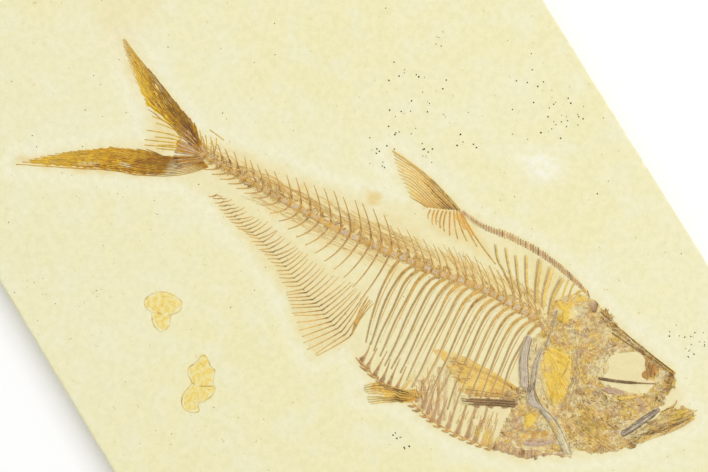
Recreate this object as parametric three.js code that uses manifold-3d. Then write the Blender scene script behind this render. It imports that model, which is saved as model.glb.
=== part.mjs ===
// A fossil fish on its limestone slab: the sawn slab, and each bone and fin of the herring-like fish
// that lies pressed flat on its upper face.
//
// Units are millimetres and +Z is up. The origin is the middle of the slab's underside, +X runs along
// the slab's long side and +Y across it. The skeleton is drawn in the fish's own axes: x along the
// backbone towards the head, y towards the back, with the same origin, turned by HEADING on the slab.
import * as THREE from "three";
import { mergeVertices } from "three/addons/utils/BufferGeometryUtils.js";
import Module from "manifold-3d";

const wasm = await Module();
wasm.setup();

// ---- Driving dimensions ----
const SLAB_LENGTH = 380;
const SLAB_THICKNESS = 13;
const SLAB_HALF_WIDTH = 141.15; // at mid length
const SLAB_FLARE = 0.0085; // gain in half width for each mm along X
const SLAB_ARRIS = 0.7; // chamfer of the sawn edges
const EDGE_STEPS = 16; // points along each side of the slab
const HEADING = THREE.MathUtils.degToRad(33.5);
const JOINT_GAP = 0.3; // clearance beside a neighbouring bone
const LAP_GAP = 0.15; // clearance above a bone that is overlain
const BED_GAP = 0.02; // clearance between a bone and the slab

// ---- Materials ----
const paint = (color, roughness) =>
  new THREE.MeshStandardMaterial({ color, roughness, metalness: 0 });
const LIMESTONE = paint(0xeee8bf, 0.9);
const BROWN_BONE = paint(0x9a7038, 0.55);
const AMBER_BONE = paint(0xc8963a, 0.5);
const YELLOW_BONE = paint(0xe6c04a, 0.5);
const GREY_BONE = paint(0xa39784, 0.55);
const DARK_FIN = paint(0x7d5628, 0.55);
const MINERAL = paint(0xecd27c, 0.7);

// ---- Plane outlines ----
const point = (x, y) => new THREE.Vector2(x, y);
const lerp = THREE.MathUtils.lerp;

/** A tapering strip along a smooth line through the given [x, y] points. */
function strip(line, startWidth, endWidth, steps) {
  const curve = new THREE.SplineCurve(line.map(([x, y]) => point(x, y)));
  const left = [];
  const right = [];
  for (let i = 0; i <= steps; i++) {
    const t = i / steps;
    const centre = curve.getPoint(t);
    const along = curve.getTangent(t);
    const half = lerp(startWidth, endWidth, t) / 2;
    left.push(point(centre.x - along.y * half, centre.y + along.x * half));
    right.push(point(centre.x + along.y * half, centre.y - along.x * half));
  }
  return [...left, ...right.reverse()];
}

/** A flat bone's outline from its corner points. */
const outline = (corners) => corners.map(([x, y]) => point(x, y));

/** A rounded outline: a closed smooth curve through the given [x, y] points. */
function rounded(points, steps) {
  const places = points.map(([x, y]) => new THREE.Vector3(x, y, 0));
  const curve = new THREE.CatmullRomCurve3(places, true);
  return curve.getPoints(steps).slice(1).map((p) => point(p.x, p.y));
}

/** The same outline, anticlockwise, with every side moved outwards by a gap. */
function grown(points, gap) {
  const loop = THREE.ShapeUtils.isClockWise(points)
    ? points.slice().reverse()
    : points;
  if (!gap) return loop;
  return loop.map((p, i) => {
    const before = loop[(i + loop.length - 1) % loop.length];
    const after = loop[(i + 1) % loop.length];
    const a = point(p.y - before.y, before.x - p.x).normalize();
    const b = point(after.y - p.y, p.x - after.x).normalize();
    const mitre = a.clone().add(b).normalize();
    const reach = gap / Math.max(0.5, mitre.dot(a));
    return p.clone().addScaledVector(mitre, reach);
  });
}

// ---- Solids ----

/** A closed three.js geometry as a manifold-3d solid. */
function solidOf(geometry) {
  geometry.deleteAttribute("normal");
  geometry.deleteAttribute("uv");
  const merged = mergeVertices(geometry, 1e-4);
  return new wasm.Manifold(
    new wasm.Mesh({
      numProp: 3,
      vertProperties: merged.attributes.position.array,
      triVerts: new Uint32Array(merged.index.array),
    }),
  );
}

/** The union of upright prisms on several outlines, from one height to another. */
function prisms(outlines, low, high, gap = 0) {
  const solids = outlines.map((points) => {
    const shape = new THREE.Shape(grown(points, gap));
    const prism = new THREE.ExtrudeGeometry(shape, {
      depth: high - low,
      bevelEnabled: false,
    });
    return solidOf(prism.translate(0, 0, low));
  });
  return wasm.Manifold.union(solids);
}

/** A manifold-3d solid as a three.js geometry. */
function geometryOf(solid) {
  const mesh = solid.getMesh();
  const corners = mesh.numProp;
  const positions = new Float32Array(mesh.numVert * 3);
  for (let i = 0; i < mesh.numVert; i++) {
    positions.set(mesh.vertProperties.subarray(i * corners, i * corners + 3), i * 3);
  }
  return new THREE.BufferGeometry()
    .setAttribute("position", new THREE.BufferAttribute(positions, 3))
    .setIndex(new THREE.BufferAttribute(mesh.triVerts, 1));
}

// ---- The slab ----

/** Half the slab's width at a place along its length. */
const halfWidth = (x) => SLAB_HALF_WIDTH + SLAB_FLARE * x;

/** How far a sawn side wanders inwards, for a share t of its length. */
const wander = (t, seed) =>
  0.25 * (1 + Math.sin(9 * t + seed) * Math.cos(17 * t + 2 * seed)) * Math.sin(Math.PI * t);

function slabGeometry() {
  const half = SLAB_LENGTH / 2;
  const corners = [
    [-half, -halfWidth(-half)],
    [half, -halfWidth(half)],
    [half, halfWidth(half)],
    [-half, halfWidth(-half)],
  ].map(([x, y]) => point(x, y));
  const loop = corners.flatMap((start, side) => {
    const end = corners[(side + 1) % corners.length];
    const along = end.clone().sub(start);
    const inwards = point(-along.y, along.x).normalize();
    return Array.from({ length: EDGE_STEPS }, (_, i) => {
      const t = i / EDGE_STEPS;
      const onSide = start.clone().addScaledVector(along, t);
      return onSide.addScaledVector(inwards, wander(t, side + 1));
    });
  });
  return new THREE.ExtrudeGeometry(new THREE.Shape(loop), {
    depth: SLAB_THICKNESS - 2 * SLAB_ARRIS,
    bevelThickness: SLAB_ARRIS,
    bevelSize: SLAB_ARRIS,
    bevelOffset: -SLAB_ARRIS,
    bevelSegments: 1,
  }).translate(0, 0, SLAB_ARRIS);
}

// ---- The backbone ----
const BACKBONE = new THREE.SplineCurve(
  outline([
    [-78, 13],
    [-60, 11.8],
    [-42, 10.2],
    [-20, 8.8],
    [5, 8],
    [28, 8.4],
    [46, 9.4],
    [62, 10.9],
    [80, 10.9],
    [102, 9.2],
  ]),
);
const TRUNK_VERTEBRAE = 18; // those that bear ribs
const MIDDLE_VERTEBRAE = 13;
const TAIL_VERTEBRAE = 8;

/** The x of each joint between vertebrae, from the head backwards. */
function jointPlaces() {
  const places = [];
  for (let k = 0; k < TRUNK_VERTEBRAE; k++) places.push(97.6 - 4.09 * k);
  for (let k = 0; k < MIDDLE_VERTEBRAE; k++) places.push(24 - 5.15 * k);
  for (let k = 1; k <= TAIL_VERTEBRAE; k++) places.push(-37.8 - 4.3 * k);
  return places;
}

/** The height of the backbone's axis at x. */
function axisAt(x) {
  let low = 0;
  let high = 1;
  for (let i = 0; i < 24; i++) {
    const middle = (low + high) / 2;
    if (BACKBONE.getPoint(middle).x < x) low = middle;
    else high = middle;
  }
  return BACKBONE.getPoint(low).y;
}

/** Half the height of a centrum: the backbone thins towards the tail. */
const centrumHalf = (x) => lerp(1.3, 2.4, THREE.MathUtils.smoothstep(x, -75, 0));

/** A centrum's side view: a spool, waisted midway between two flared ends. */
function centrum(rear, front) {
  const length = front - rear;
  const half = centrumHalf(rear);
  const sides = [0, 0.5, 1].map((t) => {
    const x = rear + t * length;
    const reach = half * (t === 0.5 ? 0.7 : 1);
    return { x, y: axisAt(x), reach };
  });
  const top = sides.map(({ x, y, reach }) => point(x, y + reach));
  const bottom = sides.map(({ x, y, reach }) => point(x, y - reach));
  return [...top, ...bottom.reverse()];
}

/** The spine that rises from a vertebra and leans to the tail. */
function neuralSpine(x) {
  const rear = THREE.MathUtils.clamp((x + 60) / 80, 0, 1);
  const trunk = x > 24;
  const lean = trunk ? 10 : 5.5 + 5.5 * rear;
  const rise = trunk ? 8.5 : 6 + 7.5 * rear;
  const base = axisAt(x) + centrumHalf(x) * 0.6;
  const line = [
    [x, base],
    [x - 0.42 * lean, base + 0.5 * rise],
    [x - lean, base + rise + centrumHalf(x) * 0.4],
  ];
  return strip(line, trunk ? 0.6 : 1, 0.3, 2);
}

/** The spine that hangs from a tail vertebra and leans to the tail. */
function haemalSpine(x) {
  const rear = THREE.MathUtils.clamp((24 - x) / 60, 0, 1);
  const lean = lerp(3.5, 6.5, Math.min(1, 2 * rear));
  const drop = lerp(20, 4.5, rear);
  const base = axisAt(x) - centrumHalf(x) * 0.6;
  const line = [
    [x, base],
    [x - 0.3 * lean, base - 0.4 * drop],
    [x - lean, base - drop],
  ];
  return strip(line, 1.1, 0.3, 2);
}

function backbone() {
  const places = jointPlaces();
  const centra = places.slice(1).map((x, i) => centrum(x, places[i] + 0.05));
  const tailJoints = places.slice(TRUNK_VERTEBRAE);
  return [...centra, ...places.map(neuralSpine), ...tailJoints.map(haemalSpine)];
}

// ---- Ribs ----
const RIB_FOOT_DRIFT = [4, 2, 0.6, 0, 0, -0.6, -0.4, -0.4, -0.8, -0.4, 0.4, 0.4, 2.2, 1, 2, 3, 3, 2.2];
const RIB_FOOT = [-34, -34, -36, -37, -40, -38, -36, -40, -40, -40, -40, -30, -40, -29, -29, -29, -27, -23];

/** Rib i, counted from the tail end: it hooks back under the backbone, then hangs nearly straight. */
function rib(i) {
  const x = 27.4 + 4.04 * i;
  const hook = i === 0 ? 1.6 : 4.4;
  const foot = RIB_FOOT[i];
  const drift = RIB_FOOT_DRIFT[i];
  const head = axisAt(x + hook) - centrumHalf(x) - JOINT_GAP;
  const line = [
    [x + hook, head],
    [x + 0.42 * hook, head - 3.6],
    [x + 0.1 * hook, head - 9],
    [x, -12],
    [x + 0.3 * drift, lerp(-12, foot, 0.5)],
    [x + drift, foot],
  ];
  return strip(line, 1.3, 0.7, 7);
}

// ---- Bones between the backbone and the back ----
const SUPRANEURALS = [
  { line: [[66, 32], [70, 26.2], [75, 22.4], [79.5, 18.6]], width: 1 },
  { line: [[71, 32.6], [75, 26.6], [79.5, 21], [83.5, 15.5]], width: 1.1 },
  { line: [[76.6, 31.4], [80, 25.6], [83, 20.5], [87, 15.5]], width: 1.2 },
  { line: [[81, 33.6], [84, 27], [87, 21.4], [90, 17.5]], width: 1.4 },
  { line: [[87.6, 34.6], [89.6, 28], [91.8, 21.4], [94.3, 16]], width: 1.6 },
  { line: [[93.8, 33.4], [94.7, 28], [95.8, 21.6], [98, 15.5]], width: 1.7 },
  { line: [[100.6, 31.2], [100.2, 25], [100.4, 20.5], [102, 13.5]], width: 1.8 },
];

/** The row of small overlapping scutes along the back, from the dorsal fin to the head. */
function dorsalScutes() {
  const count = 36;
  const half = 1.15; // half a scute's length
  const back = new THREE.SplineCurve(
    outline([
      [48, 38.9],
      [55, 37.4],
      [62, 37.3],
      [70, 38.2],
      [82, 37.6],
      [91, 36.9],
      [100, 34.5],
      [108, 32],
      [114.5, 29.6],
    ]),
  );
  return Array.from({ length: count }, (_, i) => {
    const centre = back.getPointAt(i / (count - 1));
    const tall = lerp(0.5, 1.2, Math.min(1, i / 12));
    return outline([
      [centre.x - half, centre.y - tall * 0.6],
      [centre.x + half, centre.y - tall],
      [centre.x + half, centre.y + tall * 0.8],
      [centre.x - half, centre.y + tall],
    ]);
  });
}

/** One scute of the belly's keel: a thorn that points to the tail, and an arm that rises over the ribs. */
function bellyScute(x, keel, armTip, lean) {
  const middle = lerp(keel, armTip, 0.6);
  const arm = outline([
    [x - 1.5, keel + 0.6],
    [x + 1.5, keel + 0.9],
    [x + 0.5 - lean * 0.55, middle],
    [x - lean, armTip],
    [x - 0.5 - lean * 0.55, middle],
  ]);
  const thorn = outline([
    [x - 2.9, keel + 0.7],
    [x + 2.2, keel - 0.6],
    [x + 2.6, keel + 1.2],
    [x - 1.4, keel + 1.5],
  ]);
  return [arm, thorn];
}

/** A run of belly scutes between two [x, keel] ends. */
function keelRun(from, to, count, armTip, lean) {
  return Array.from({ length: count }, (_, i) => {
    const t = i / (count - 1);
    const x = lerp(from[0], to[0], t);
    return bellyScute(x, lerp(from[1], to[1], t), armTip, lean);
  }).flat();
}

// ---- The bones and fins, from the deepest in the rock to the uppermost ----
// Each has its outlines, the height of its top over the slab, and its material.
const BONES = {
  vertebral_column: { parts: backbone(), top: 1.5, material: BROWN_BONE },
};
for (let i = 0; i < TRUNK_VERTEBRAE; i++) {
  const number = String(i + 1).padStart(2, "0");
  BONES[`rib_${number}`] = { parts: [rib(i)], top: 0.8, material: AMBER_BONE };
}
SUPRANEURALS.forEach(({ line, width }, i) => {
  const parts = [strip(line, width, 0.6 * width, 4)];
  BONES[`supraneural_${i + 1}`] = { parts, top: 0.9, material: AMBER_BONE };
});

Object.assign(BONES, {
  dorsal_scutes: { parts: dorsalScutes(), top: 0.9, material: BROWN_BONE },
  dorsal_fin_supports: {
    parts: [
      outline([
        [44.5, 38.2], [50, 36.2], [56, 33], [62, 29.4], [68, 25.2], [70, 23.6],
        [64, 24.8], [53.5, 28], [49, 27.6], [42, 27], [37.5, 26.8], [33, 29.2],
        [30.2, 32.6], [35, 34.6], [40, 36.4],
      ]),
    ],
    top: 0.5,
    material: AMBER_BONE,
  },
  dorsal_fin: {
    parts: [
      outline([
        [45, 39.4], [40, 41.6], [35, 44], [30, 45.7], [25, 47.2], [18, 49.2],
        [10, 51], [5, 51.8], [5.2, 50], [9, 46.6], [12, 43], [13.5, 40.4],
        [17, 37.8], [20, 36], [26, 32.8], [30, 33.4], [35, 35.2], [40, 37],
      ]),
    ],
    top: 0.7,
    material: DARK_FIN,
  },
  anal_fin_supports: {
    parts: [
      outline([
        [-58, -1.4], [-50, -0.4], [-44, -1], [-36, -3], [-30, -5], [-24, -7],
        [-14, -8.6], [-5, -11], [5, -12.6], [13, -13], [19, -13], [24.4, -13.6],
        [23.6, -33.6], [17, -32.2], [13, -30], [5, -27.4], [-1, -25.2],
        [-6, -22.6], [-14, -18.6], [-24, -14.4], [-34, -11], [-44, -7.8],
        [-52, -4.4],
      ]),
    ],
    top: 0.45,
    material: AMBER_BONE,
  },
  anal_fin: {
    parts: [
      outline([
        [-58.6, -1.8], [-52, -4.9], [-44, -8.3], [-34, -11.5], [-24, -14.9],
        [-14, -19.1], [-6, -23.1], [-1, -25.7], [5, -27.9], [13, -30.5],
        [17, -32.7], [23.4, -34.2], [22.8, -37.4], [17, -43.6], [12, -49.8],
        [7, -49], [2, -44.2], [-3.6, -38.8], [-9.4, -32.6], [-14, -27.6],
        [-21, -21.4], [-30, -18], [-40, -13.4], [-50, -8.6],
      ]),
    ],
    top: 0.6,
    material: AMBER_BONE,
  },
  tail_fin_upper: {
    parts: [
      outline([
        [-74, 11.8], [-75.6, 14.4], [-80, 19.6], [-85, 24.4], [-92, 27.6],
        [-100, 31], [-106, 34], [-113, 37.2], [-120, 41], [-128.4, 45.4],
        [-129, 43.2], [-122, 34.6], [-115, 27], [-105, 19.8], [-102, 12.6],
        [-99, 5.2], [-92, 7.8], [-85.6, 11.4], [-80, 12.6],
      ]),
    ],
    top: 0.8,
    material: DARK_FIN,
  },
  tail_fin_lower: {
    parts: [
      outline([
        [-74, 10.9], [-80, 11], [-86.6, 7.6], [-92, 4.6], [-98, 3.8],
        [-105, 2.2], [-112, -0.8], [-120, -5.8], [-128, -10.8], [-136, -16.8],
        [-144, -22.8], [-150, -27.6], [-143, -25.6], [-134, -22.6],
        [-125, -18.8], [-115, -14], [-105, -11.2], [-97, -8.6], [-90, -6.2],
        [-84, -3], [-77, -1], [-70.6, 5.6],
      ]),
    ],
    top: 0.8,
    material: DARK_FIN,
  },
  belly_scutes_rear: {
    parts: keelRun([32.4, -42.6], [53, -48.4], 6, -35, -0.6),
    top: 1.2,
    material: BROWN_BONE,
  },
  pelvic_fin: {
    parts: [
      outline([
        [65, -44.4], [60, -45.4], [57.2, -46.6], [57, -48.2], [50, -50.2],
        [44, -50.8], [39, -53], [38.6, -55], [42, -57.2], [46, -57],
        [54, -53.4], [60, -50.2], [64, -47.4],
      ]),
    ],
    top: 1.5,
    material: DARK_FIN,
  },
  belly_scutes_front: {
    parts: keelRun([66.4, -52.4], [102.6, -54], 9, -40.5, 1.6),
    top: 1.2,
    material: BROWN_BONE,
  },
  throat_scutes: {
    parts: [
      outline([
        [105.4, -49], [110, -47.8], [116, -47.6], [121, -46], [126, -44.8],
        [130, -44], [137, -41.8], [138.6, -42.6], [130, -45], [127, -47],
        [122, -50.6], [117, -52], [111, -52.8], [105.6, -53.6],
      ]),
    ],
    top: 1,
    material: BROWN_BONE,
  },
  pectoral_fin_far: {
    parts: [
      outline([
        [57, -24.6], [69, -22.4], [72, -20.8], [80, -22], [90, -21.8],
        [99, -22.2], [104, -23.4], [103.6, -26], [99, -28.6], [90, -29.6],
        [80, -29.4], [70, -27.4],
      ]),
    ],
    top: 1.3,
    material: YELLOW_BONE,
  },
  pectoral_fin_near: {
    parts: [
      outline([
        [105, -30.4], [104, -27.6], [99, -29], [92, -30.2], [84, -32.4],
        [79.6, -36.4], [82.6, -40.2], [90, -38], [98, -35], [104, -32.6],
      ]),
    ],
    top: 1.8,
    material: DARK_FIN,
  },
  temple_plate: {
    parts: [
      outline([
        [102, 20.4], [107.4, 21.4], [112.4, 27.6], [114, 27.2], [111.2, 22.6],
        [114.6, 19], [112.2, 14.6], [109.6, 11.8], [107.6, 13], [107, 17],
        [103.6, 18.6],
      ]),
    ],
    top: 0.9,
    material: YELLOW_BONE,
  },
  occipital_crest: {
    parts: [
      outline([
        [114.6, 28.2], [117.4, 28.8], [119.8, 28], [121.6, 25.8], [121.4, 22.4],
        [118.2, 22.4], [116.6, 25.8],
      ]),
    ],
    top: 1.4,
    material: GREY_BONE,
  },
  braincase: {
    parts: [
      outline([
        [103.6, 15], [107, 16], [110, 14.6], [113.4, 15.6], [114, 20],
        [117.6, 22], [122, 21.8], [128, 19], [134, 17.2], [140.6, 16.2],
        [136.4, 13.6], [133.4, 10.6], [132.2, 6], [134, 1], [131, -3.4],
        [126, -3.4], [122.4, 1.4], [117, 3], [110, 3.4], [104, 3], [102.8, 9],
      ]),
    ],
    top: 1.5,
    material: BROWN_BONE,
  },
  shoulder_bar: {
    parts: [strip([[104.8, 16], [106, 8], [107.4, 0.6]], 1.5, 1.7, 4)],
    top: 2,
    material: GREY_BONE,
  },
  skull_roof: {
    parts: [
      outline([
        [122.4, 24.2], [126, 24.4], [132, 22.4], [136, 21.4], [140, 19.8],
        [145, 18.2], [150, 17.4], [155, 16.8], [158.4, 15], [162, 14.4],
        [165.2, 14], [165, 12.4], [158, 13.2], [153, 14.4], [148, 15.8],
        [141, 16.8], [134, 17.8], [128, 19.8], [122.6, 22.2],
      ]),
    ],
    top: 1.7,
    material: BROWN_BONE,
  },
  snout_wedge: {
    parts: [
      outline([
        [150.4, 14.6], [154, 13.8], [158, 12.8], [160, 11], [157, 9.6],
        [157.6, 7.4], [155.4, 5.4], [152.6, 6.6], [152.8, 9.8], [151.6, 12.4],
      ]),
    ],
    top: 0.9,
    material: BROWN_BONE,
  },
  upper_jaw: {
    parts: [
      outline([
        [161.2, 12], [165.4, 12.2], [167.4, 11], [168.4, 8], [167.4, 4.4],
        [166.4, 1], [167.8, -1.4], [166, -3.4], [163, -2], [161.4, 1],
        [161, 4.4], [163, 7.4], [162, 9.8],
      ]),
    ],
    top: 1.2,
    material: BROWN_BONE,
  },
  eye_bar: {
    parts: [strip([[135.4, -3.6], [145, -0.6], [152, 2], [160.2, 5]], 1.4, 0.7, 5)],
    top: 1,
    material: GREY_BONE,
  },
  opercle: {
    parts: [
      rounded(
        [[108.8, -0.4], [114, 0.8], [120, -1], [124, -9], [124.6, -17], [121.6, -23.4],
          [114.6, -18.4], [108.6, -10]],
        24,
      ),
    ],
    top: 0.9,
    material: YELLOW_BONE,
  },
  preopercle: {
    parts: [strip([[119.6, 2.6], [123.4, -4], [126.6, -12], [127.4, -22]], 2, 2.6, 5)],
    top: 1.4,
    material: GREY_BONE,
  },
  cheek: {
    parts: [
      outline([
        [128, -4.6], [136, -6], [142, -5.2], [149, -5.6], [154, -3.4],
        [158, -0.8], [160.6, 0.4], [162, -3], [161.4, -6], [158, -11],
        [155.6, -15], [154, -20.4], [148, -24], [140, -25], [133, -24.4],
        [129, -23], [128.4, -14],
      ]),
    ],
    top: 1.3,
    material: BROWN_BONE,
  },
  maxilla: {
    parts: [
      outline([
        [154.8, -21.8], [156.6, -18], [160, -11], [163.8, -5.4], [166.4, -4.8],
        [166, -8], [163.6, -13], [160, -19], [157, -22.4],
      ]),
    ],
    top: 1.7,
    material: GREY_BONE,
  },
  lower_jaw: {
    parts: [
      outline([
        [160.6, -19.4], [164.4, -13], [166.8, -8], [167.8, -4.4], [170, -1.6],
        [173, -1], [175, 0.8], [178, 1.6], [181, 0.6], [183, -1], [182, -3],
        [179, -7.6], [175, -12], [171, -15.6], [168.4, -18], [165, -21.4],
        [161.6, -23],
      ]),
    ],
    top: 1.5,
    material: BROWN_BONE,
  },
  gill_rays: {
    parts: [
      outline([
        [121.4, -24], [127, -25.4], [133, -26], [140, -26.6], [148, -26.2],
        [155, -24.6], [160, -24.2], [158.8, -28.4], [156, -31], [152, -34],
        [147, -35.8], [142, -37], [138.4, -37.6], [134, -35.2], [129, -31],
        [124.6, -27.4],
      ]),
    ],
    top: 0.8,
    material: AMBER_BONE,
  },
  cleithrum_rear: {
    parts: [strip([[97, 0.4], [98.4, -6], [100.8, -12.4], [103.8, -18.4], [107, -22.8]], 4, 3, 6)],
    top: 1.4,
    material: GREY_BONE,
  },
  cleithrum_front: {
    parts: [
      strip([[104.8, -1.6], [106, -8], [108.2, -15.2], [111.4, -22], [116.4, -26.8]], 2.2, 3.4, 8),
      strip([[115.4, -26], [121, -29], [128, -34.2], [137, -41.2]], 3.2, 2.4, 5),
    ],
    top: 1.9,
    material: GREY_BONE,
  },
  coracoid: {
    parts: [
      outline([
        [105, -33.6], [108.4, -29.4], [112, -29.6], [116.6, -30.2],
        [113, -33], [112.4, -36], [115, -38], [120, -37.2], [126, -35.8],
        [128.6, -38.4], [124, -42.2], [118, -45.4], [112, -46], [109, -43.4],
        [106.4, -38.6],
      ]),
    ],
    top: 1,
    material: AMBER_BONE,
  },
  mineral_patch_left: {
    parts: [
      rounded(
        [[-69, -58.4], [-66.4, -53.6], [-59, -52], [-53, -54.4], [-54, -60], [-55.6, -64.6],
          [-56.6, -68.8], [-61.4, -66], [-62.6, -61.8]],
        24,
      ),
    ],
    top: 0.4,
    material: MINERAL,
  },
  mineral_patch_right: {
    parts: [
      rounded(
        [[-34.6, -71.6], [-29, -72], [-24.6, -78], [-21.8, -84.6], [-25.2, -89.8], [-28, -93.6],
          [-30.6, -97.4], [-35.4, -94], [-35, -88.6], [-35.2, -83], [-37.8, -77]],
        28,
      ),
    ],
    top: 0.4,
    material: MINERAL,
  },
});

/** The rectangle round a bone's outlines, with the joint gap added. */
const reachOf = (bone) =>
  new THREE.Box2().setFromPoints(bone.parts.flat()).expandByScalar(JOINT_GAP);

/** What a bone must stay out of beside or above a neighbour that is already in place. */
function keepOut(neighbour, bone) {
  const overlain = neighbour.top + 2 * LAP_GAP <= bone.top;
  return overlain
    ? prisms(neighbour.parts, -1, neighbour.top + LAP_GAP, LAP_GAP)
    : prisms(neighbour.parts, -1, bone.top + 1, JOINT_GAP);
}

/** Lays the bones down in order, each cut clear of those already there, and keeps its main piece. */
function layDown(bones) {
  const laid = [];
  for (const [name, bone] of Object.entries(bones)) {
    const reach = reachOf(bone);
    let solid = prisms(bone.parts, BED_GAP, bone.top);
    for (const neighbour of laid) {
      if (reach.intersectsBox(neighbour.reach)) {
        solid = solid.subtract(keepOut(neighbour, bone));
      }
    }
    const pieces = solid.decompose();
    pieces.sort((a, b) => b.volume() - a.volume());
    laid.push({ name, ...bone, reach, solid: pieces[0] });
  }
  return laid;
}

// ---- The model ----
const fish = new THREE.Group();
fish.rotation.z = HEADING;
fish.position.z = SLAB_THICKNESS;
for (const { name, solid, material } of layDown(BONES)) {
  const bone = new THREE.Mesh(geometryOf(solid), material);
  bone.name = name;
  fish.add(bone);
}

const slab = new THREE.Mesh(slabGeometry(), LIMESTONE);
slab.name = "slab";

const model = new THREE.Group();
model.add(slab, fish);
export default model;
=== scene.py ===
import math

import bpy
import numpy as np
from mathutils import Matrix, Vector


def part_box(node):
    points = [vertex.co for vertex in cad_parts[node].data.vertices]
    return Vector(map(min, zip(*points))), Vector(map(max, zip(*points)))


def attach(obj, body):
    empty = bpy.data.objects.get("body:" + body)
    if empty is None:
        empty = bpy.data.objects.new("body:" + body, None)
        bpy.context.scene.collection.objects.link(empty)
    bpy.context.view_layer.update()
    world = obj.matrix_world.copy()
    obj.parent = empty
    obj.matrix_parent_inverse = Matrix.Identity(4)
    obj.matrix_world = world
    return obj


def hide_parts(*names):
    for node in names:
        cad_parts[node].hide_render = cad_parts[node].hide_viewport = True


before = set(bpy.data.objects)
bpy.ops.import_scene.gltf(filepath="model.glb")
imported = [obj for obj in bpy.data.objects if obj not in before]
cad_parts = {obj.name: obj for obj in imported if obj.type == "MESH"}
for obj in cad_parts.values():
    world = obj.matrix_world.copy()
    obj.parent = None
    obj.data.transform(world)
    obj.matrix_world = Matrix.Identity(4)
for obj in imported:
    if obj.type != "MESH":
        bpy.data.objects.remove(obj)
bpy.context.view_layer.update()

# ---- The slab: a sawn sheet of lake limestone ----
# Cream-yellow, fine-grained and laminated. Its face was split along a bedding plane and cleaned with
# needles round the fish, its four sides were sawn, and its underside is as it split from the bed.
MM = 0.001
SLAB_LOW, SLAB_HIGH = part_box("slab")
SLAB_MIDDLE = (SLAB_LOW + SLAB_HIGH) / 2
HEADING = math.radians(33.5)  # from the slab's long side to the fish's backbone
GRID_STEP = 1.75  # mm between the points of the slab's face
SIDE_LEVELS = np.array([0, 0.02, 0.06, 0.14, 0.24, 0.34, 0.44, 0.54, 0.64, 0.74, 0.84, 0.93, 0.98, 1])

# The fish's silhouette, in its own axes: x to the head, y to the back, in mm from the slab's middle.
SILHOUETTE = np.array([
    (183, -1), (172, 1), (169, -2), (168, 8), (165, 14), (150, 17.5), (132, 22.5), (121, 27), (113, 30),
    (100, 35), (85, 38), (60, 38), (48, 39), (30, 45), (5, 51), (13, 41), (28, 33), (10, 27), (-20, 23),
    (-65, 21), (-80, 19), (-100, 31), (-128, 45), (-122, 35), (-105, 19), (-98, 6), (-112, 0), (-149, -27),
    (-125, -19), (-97, -9), (-78, -1), (-62, -3), (-31, -18), (-12, -29), (2, -44), (12, -50), (23, -37),
    (32, -44), (46, -50), (39, -56), (62, -50), (76, -55), (98, -55), (117, -53), (130, -45), (139, -41),
    (157, -31), (168, -18), (179, -7),
], float)
BACKBONE = np.array([
    (-78, 12.6), (-65, 12), (-55, 11), (-45, 10.3), (-35, 9.5), (-25, 9), (-15, 8.5), (-5, 8), (5, 7.8),
    (15, 8), (25, 8.3), (35, 8.8), (48, 9.3), (57, 10.6), (65, 11.2), (75, 11.2), (85, 10.5), (95, 9.6),
    (104, 9),
])


def soft_step(value, low, high):
    """0 below low, 1 above high, and t * t * (3 - 2 t) between them."""
    t = np.clip((value - low) / (high - low), 0, 1)
    return t * t * (3 - 2 * t)


def waves(x, y, size, seed, count=14):
    """A sum of plane sine waves in random directions, crests about `size` apart, in about -1 to 1."""
    draw = np.random.default_rng(seed)
    total = np.zeros(np.broadcast(x, y).shape)
    for _ in range(count):
        turn, phase = draw.uniform(0, 2 * math.pi, 2)
        pitch = 2 * math.pi / (size * draw.uniform(0.6, 1.5))
        total += np.sin(pitch * (x * math.cos(turn) + y * math.sin(turn)) + phase)
    return total / math.sqrt(count)


def inside(x, y, outline):
    """The distance to a closed outline, in its own units: positive inside, negative outside."""
    ax, ay = outline.T
    bx, by = np.roll(outline, -1, axis=0).T
    px, py = x[..., None] - ax, y[..., None] - ay
    ex, ey = bx - ax, by - ay
    t = np.clip((px * ex + py * ey) / (ex * ex + ey * ey), 0, 1)
    distance = np.sqrt(((px - t * ex) ** 2 + (py - t * ey) ** 2).min(-1))
    flat = np.where(ey == 0, 1, ey)
    crossed = ((ay > y[..., None]) != (by > y[..., None])) & (px < ex * py / flat)
    return np.where(crossed.sum(-1) % 2 == 1, distance, -distance)


def backbone_height(x):
    """The y of the backbone's axis at x, straight between its points."""
    return np.interp(x, BACKBONE[:, 0], BACKBONE[:, 1])


def face_relief(x, y):
    """How far the stone's face lies below its highest level at a place, in mm.

    Broad swells of sine waves, and a shallow bed that was cleaned out to within 9 mm of the silhouette.
    """
    swell = 0.09 * waves(x, y, 70, 1) + 0.03 * waves(x, y, 12, 2)
    bed = 0.16 * soft_step(inside(x, y, SILHOUETTE) + 1.5 * waves(x, y, 18, 3), -9, -5)
    return -0.42 + swell - bed


def on_slab(x, y, lift):
    """Fish axes in mm to the row's frame in metres: turned by HEADING, `lift` mm over the stone's face."""
    along = x * math.cos(HEADING) - y * math.sin(HEADING)
    across = x * math.sin(HEADING) + y * math.cos(HEADING)
    up = SLAB_HIGH.z + (face_relief(x, y) + lift) * MM
    return np.stack([SLAB_MIDDLE.x + along * MM, SLAB_MIDDLE.y + across * MM, up], -1)


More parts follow.
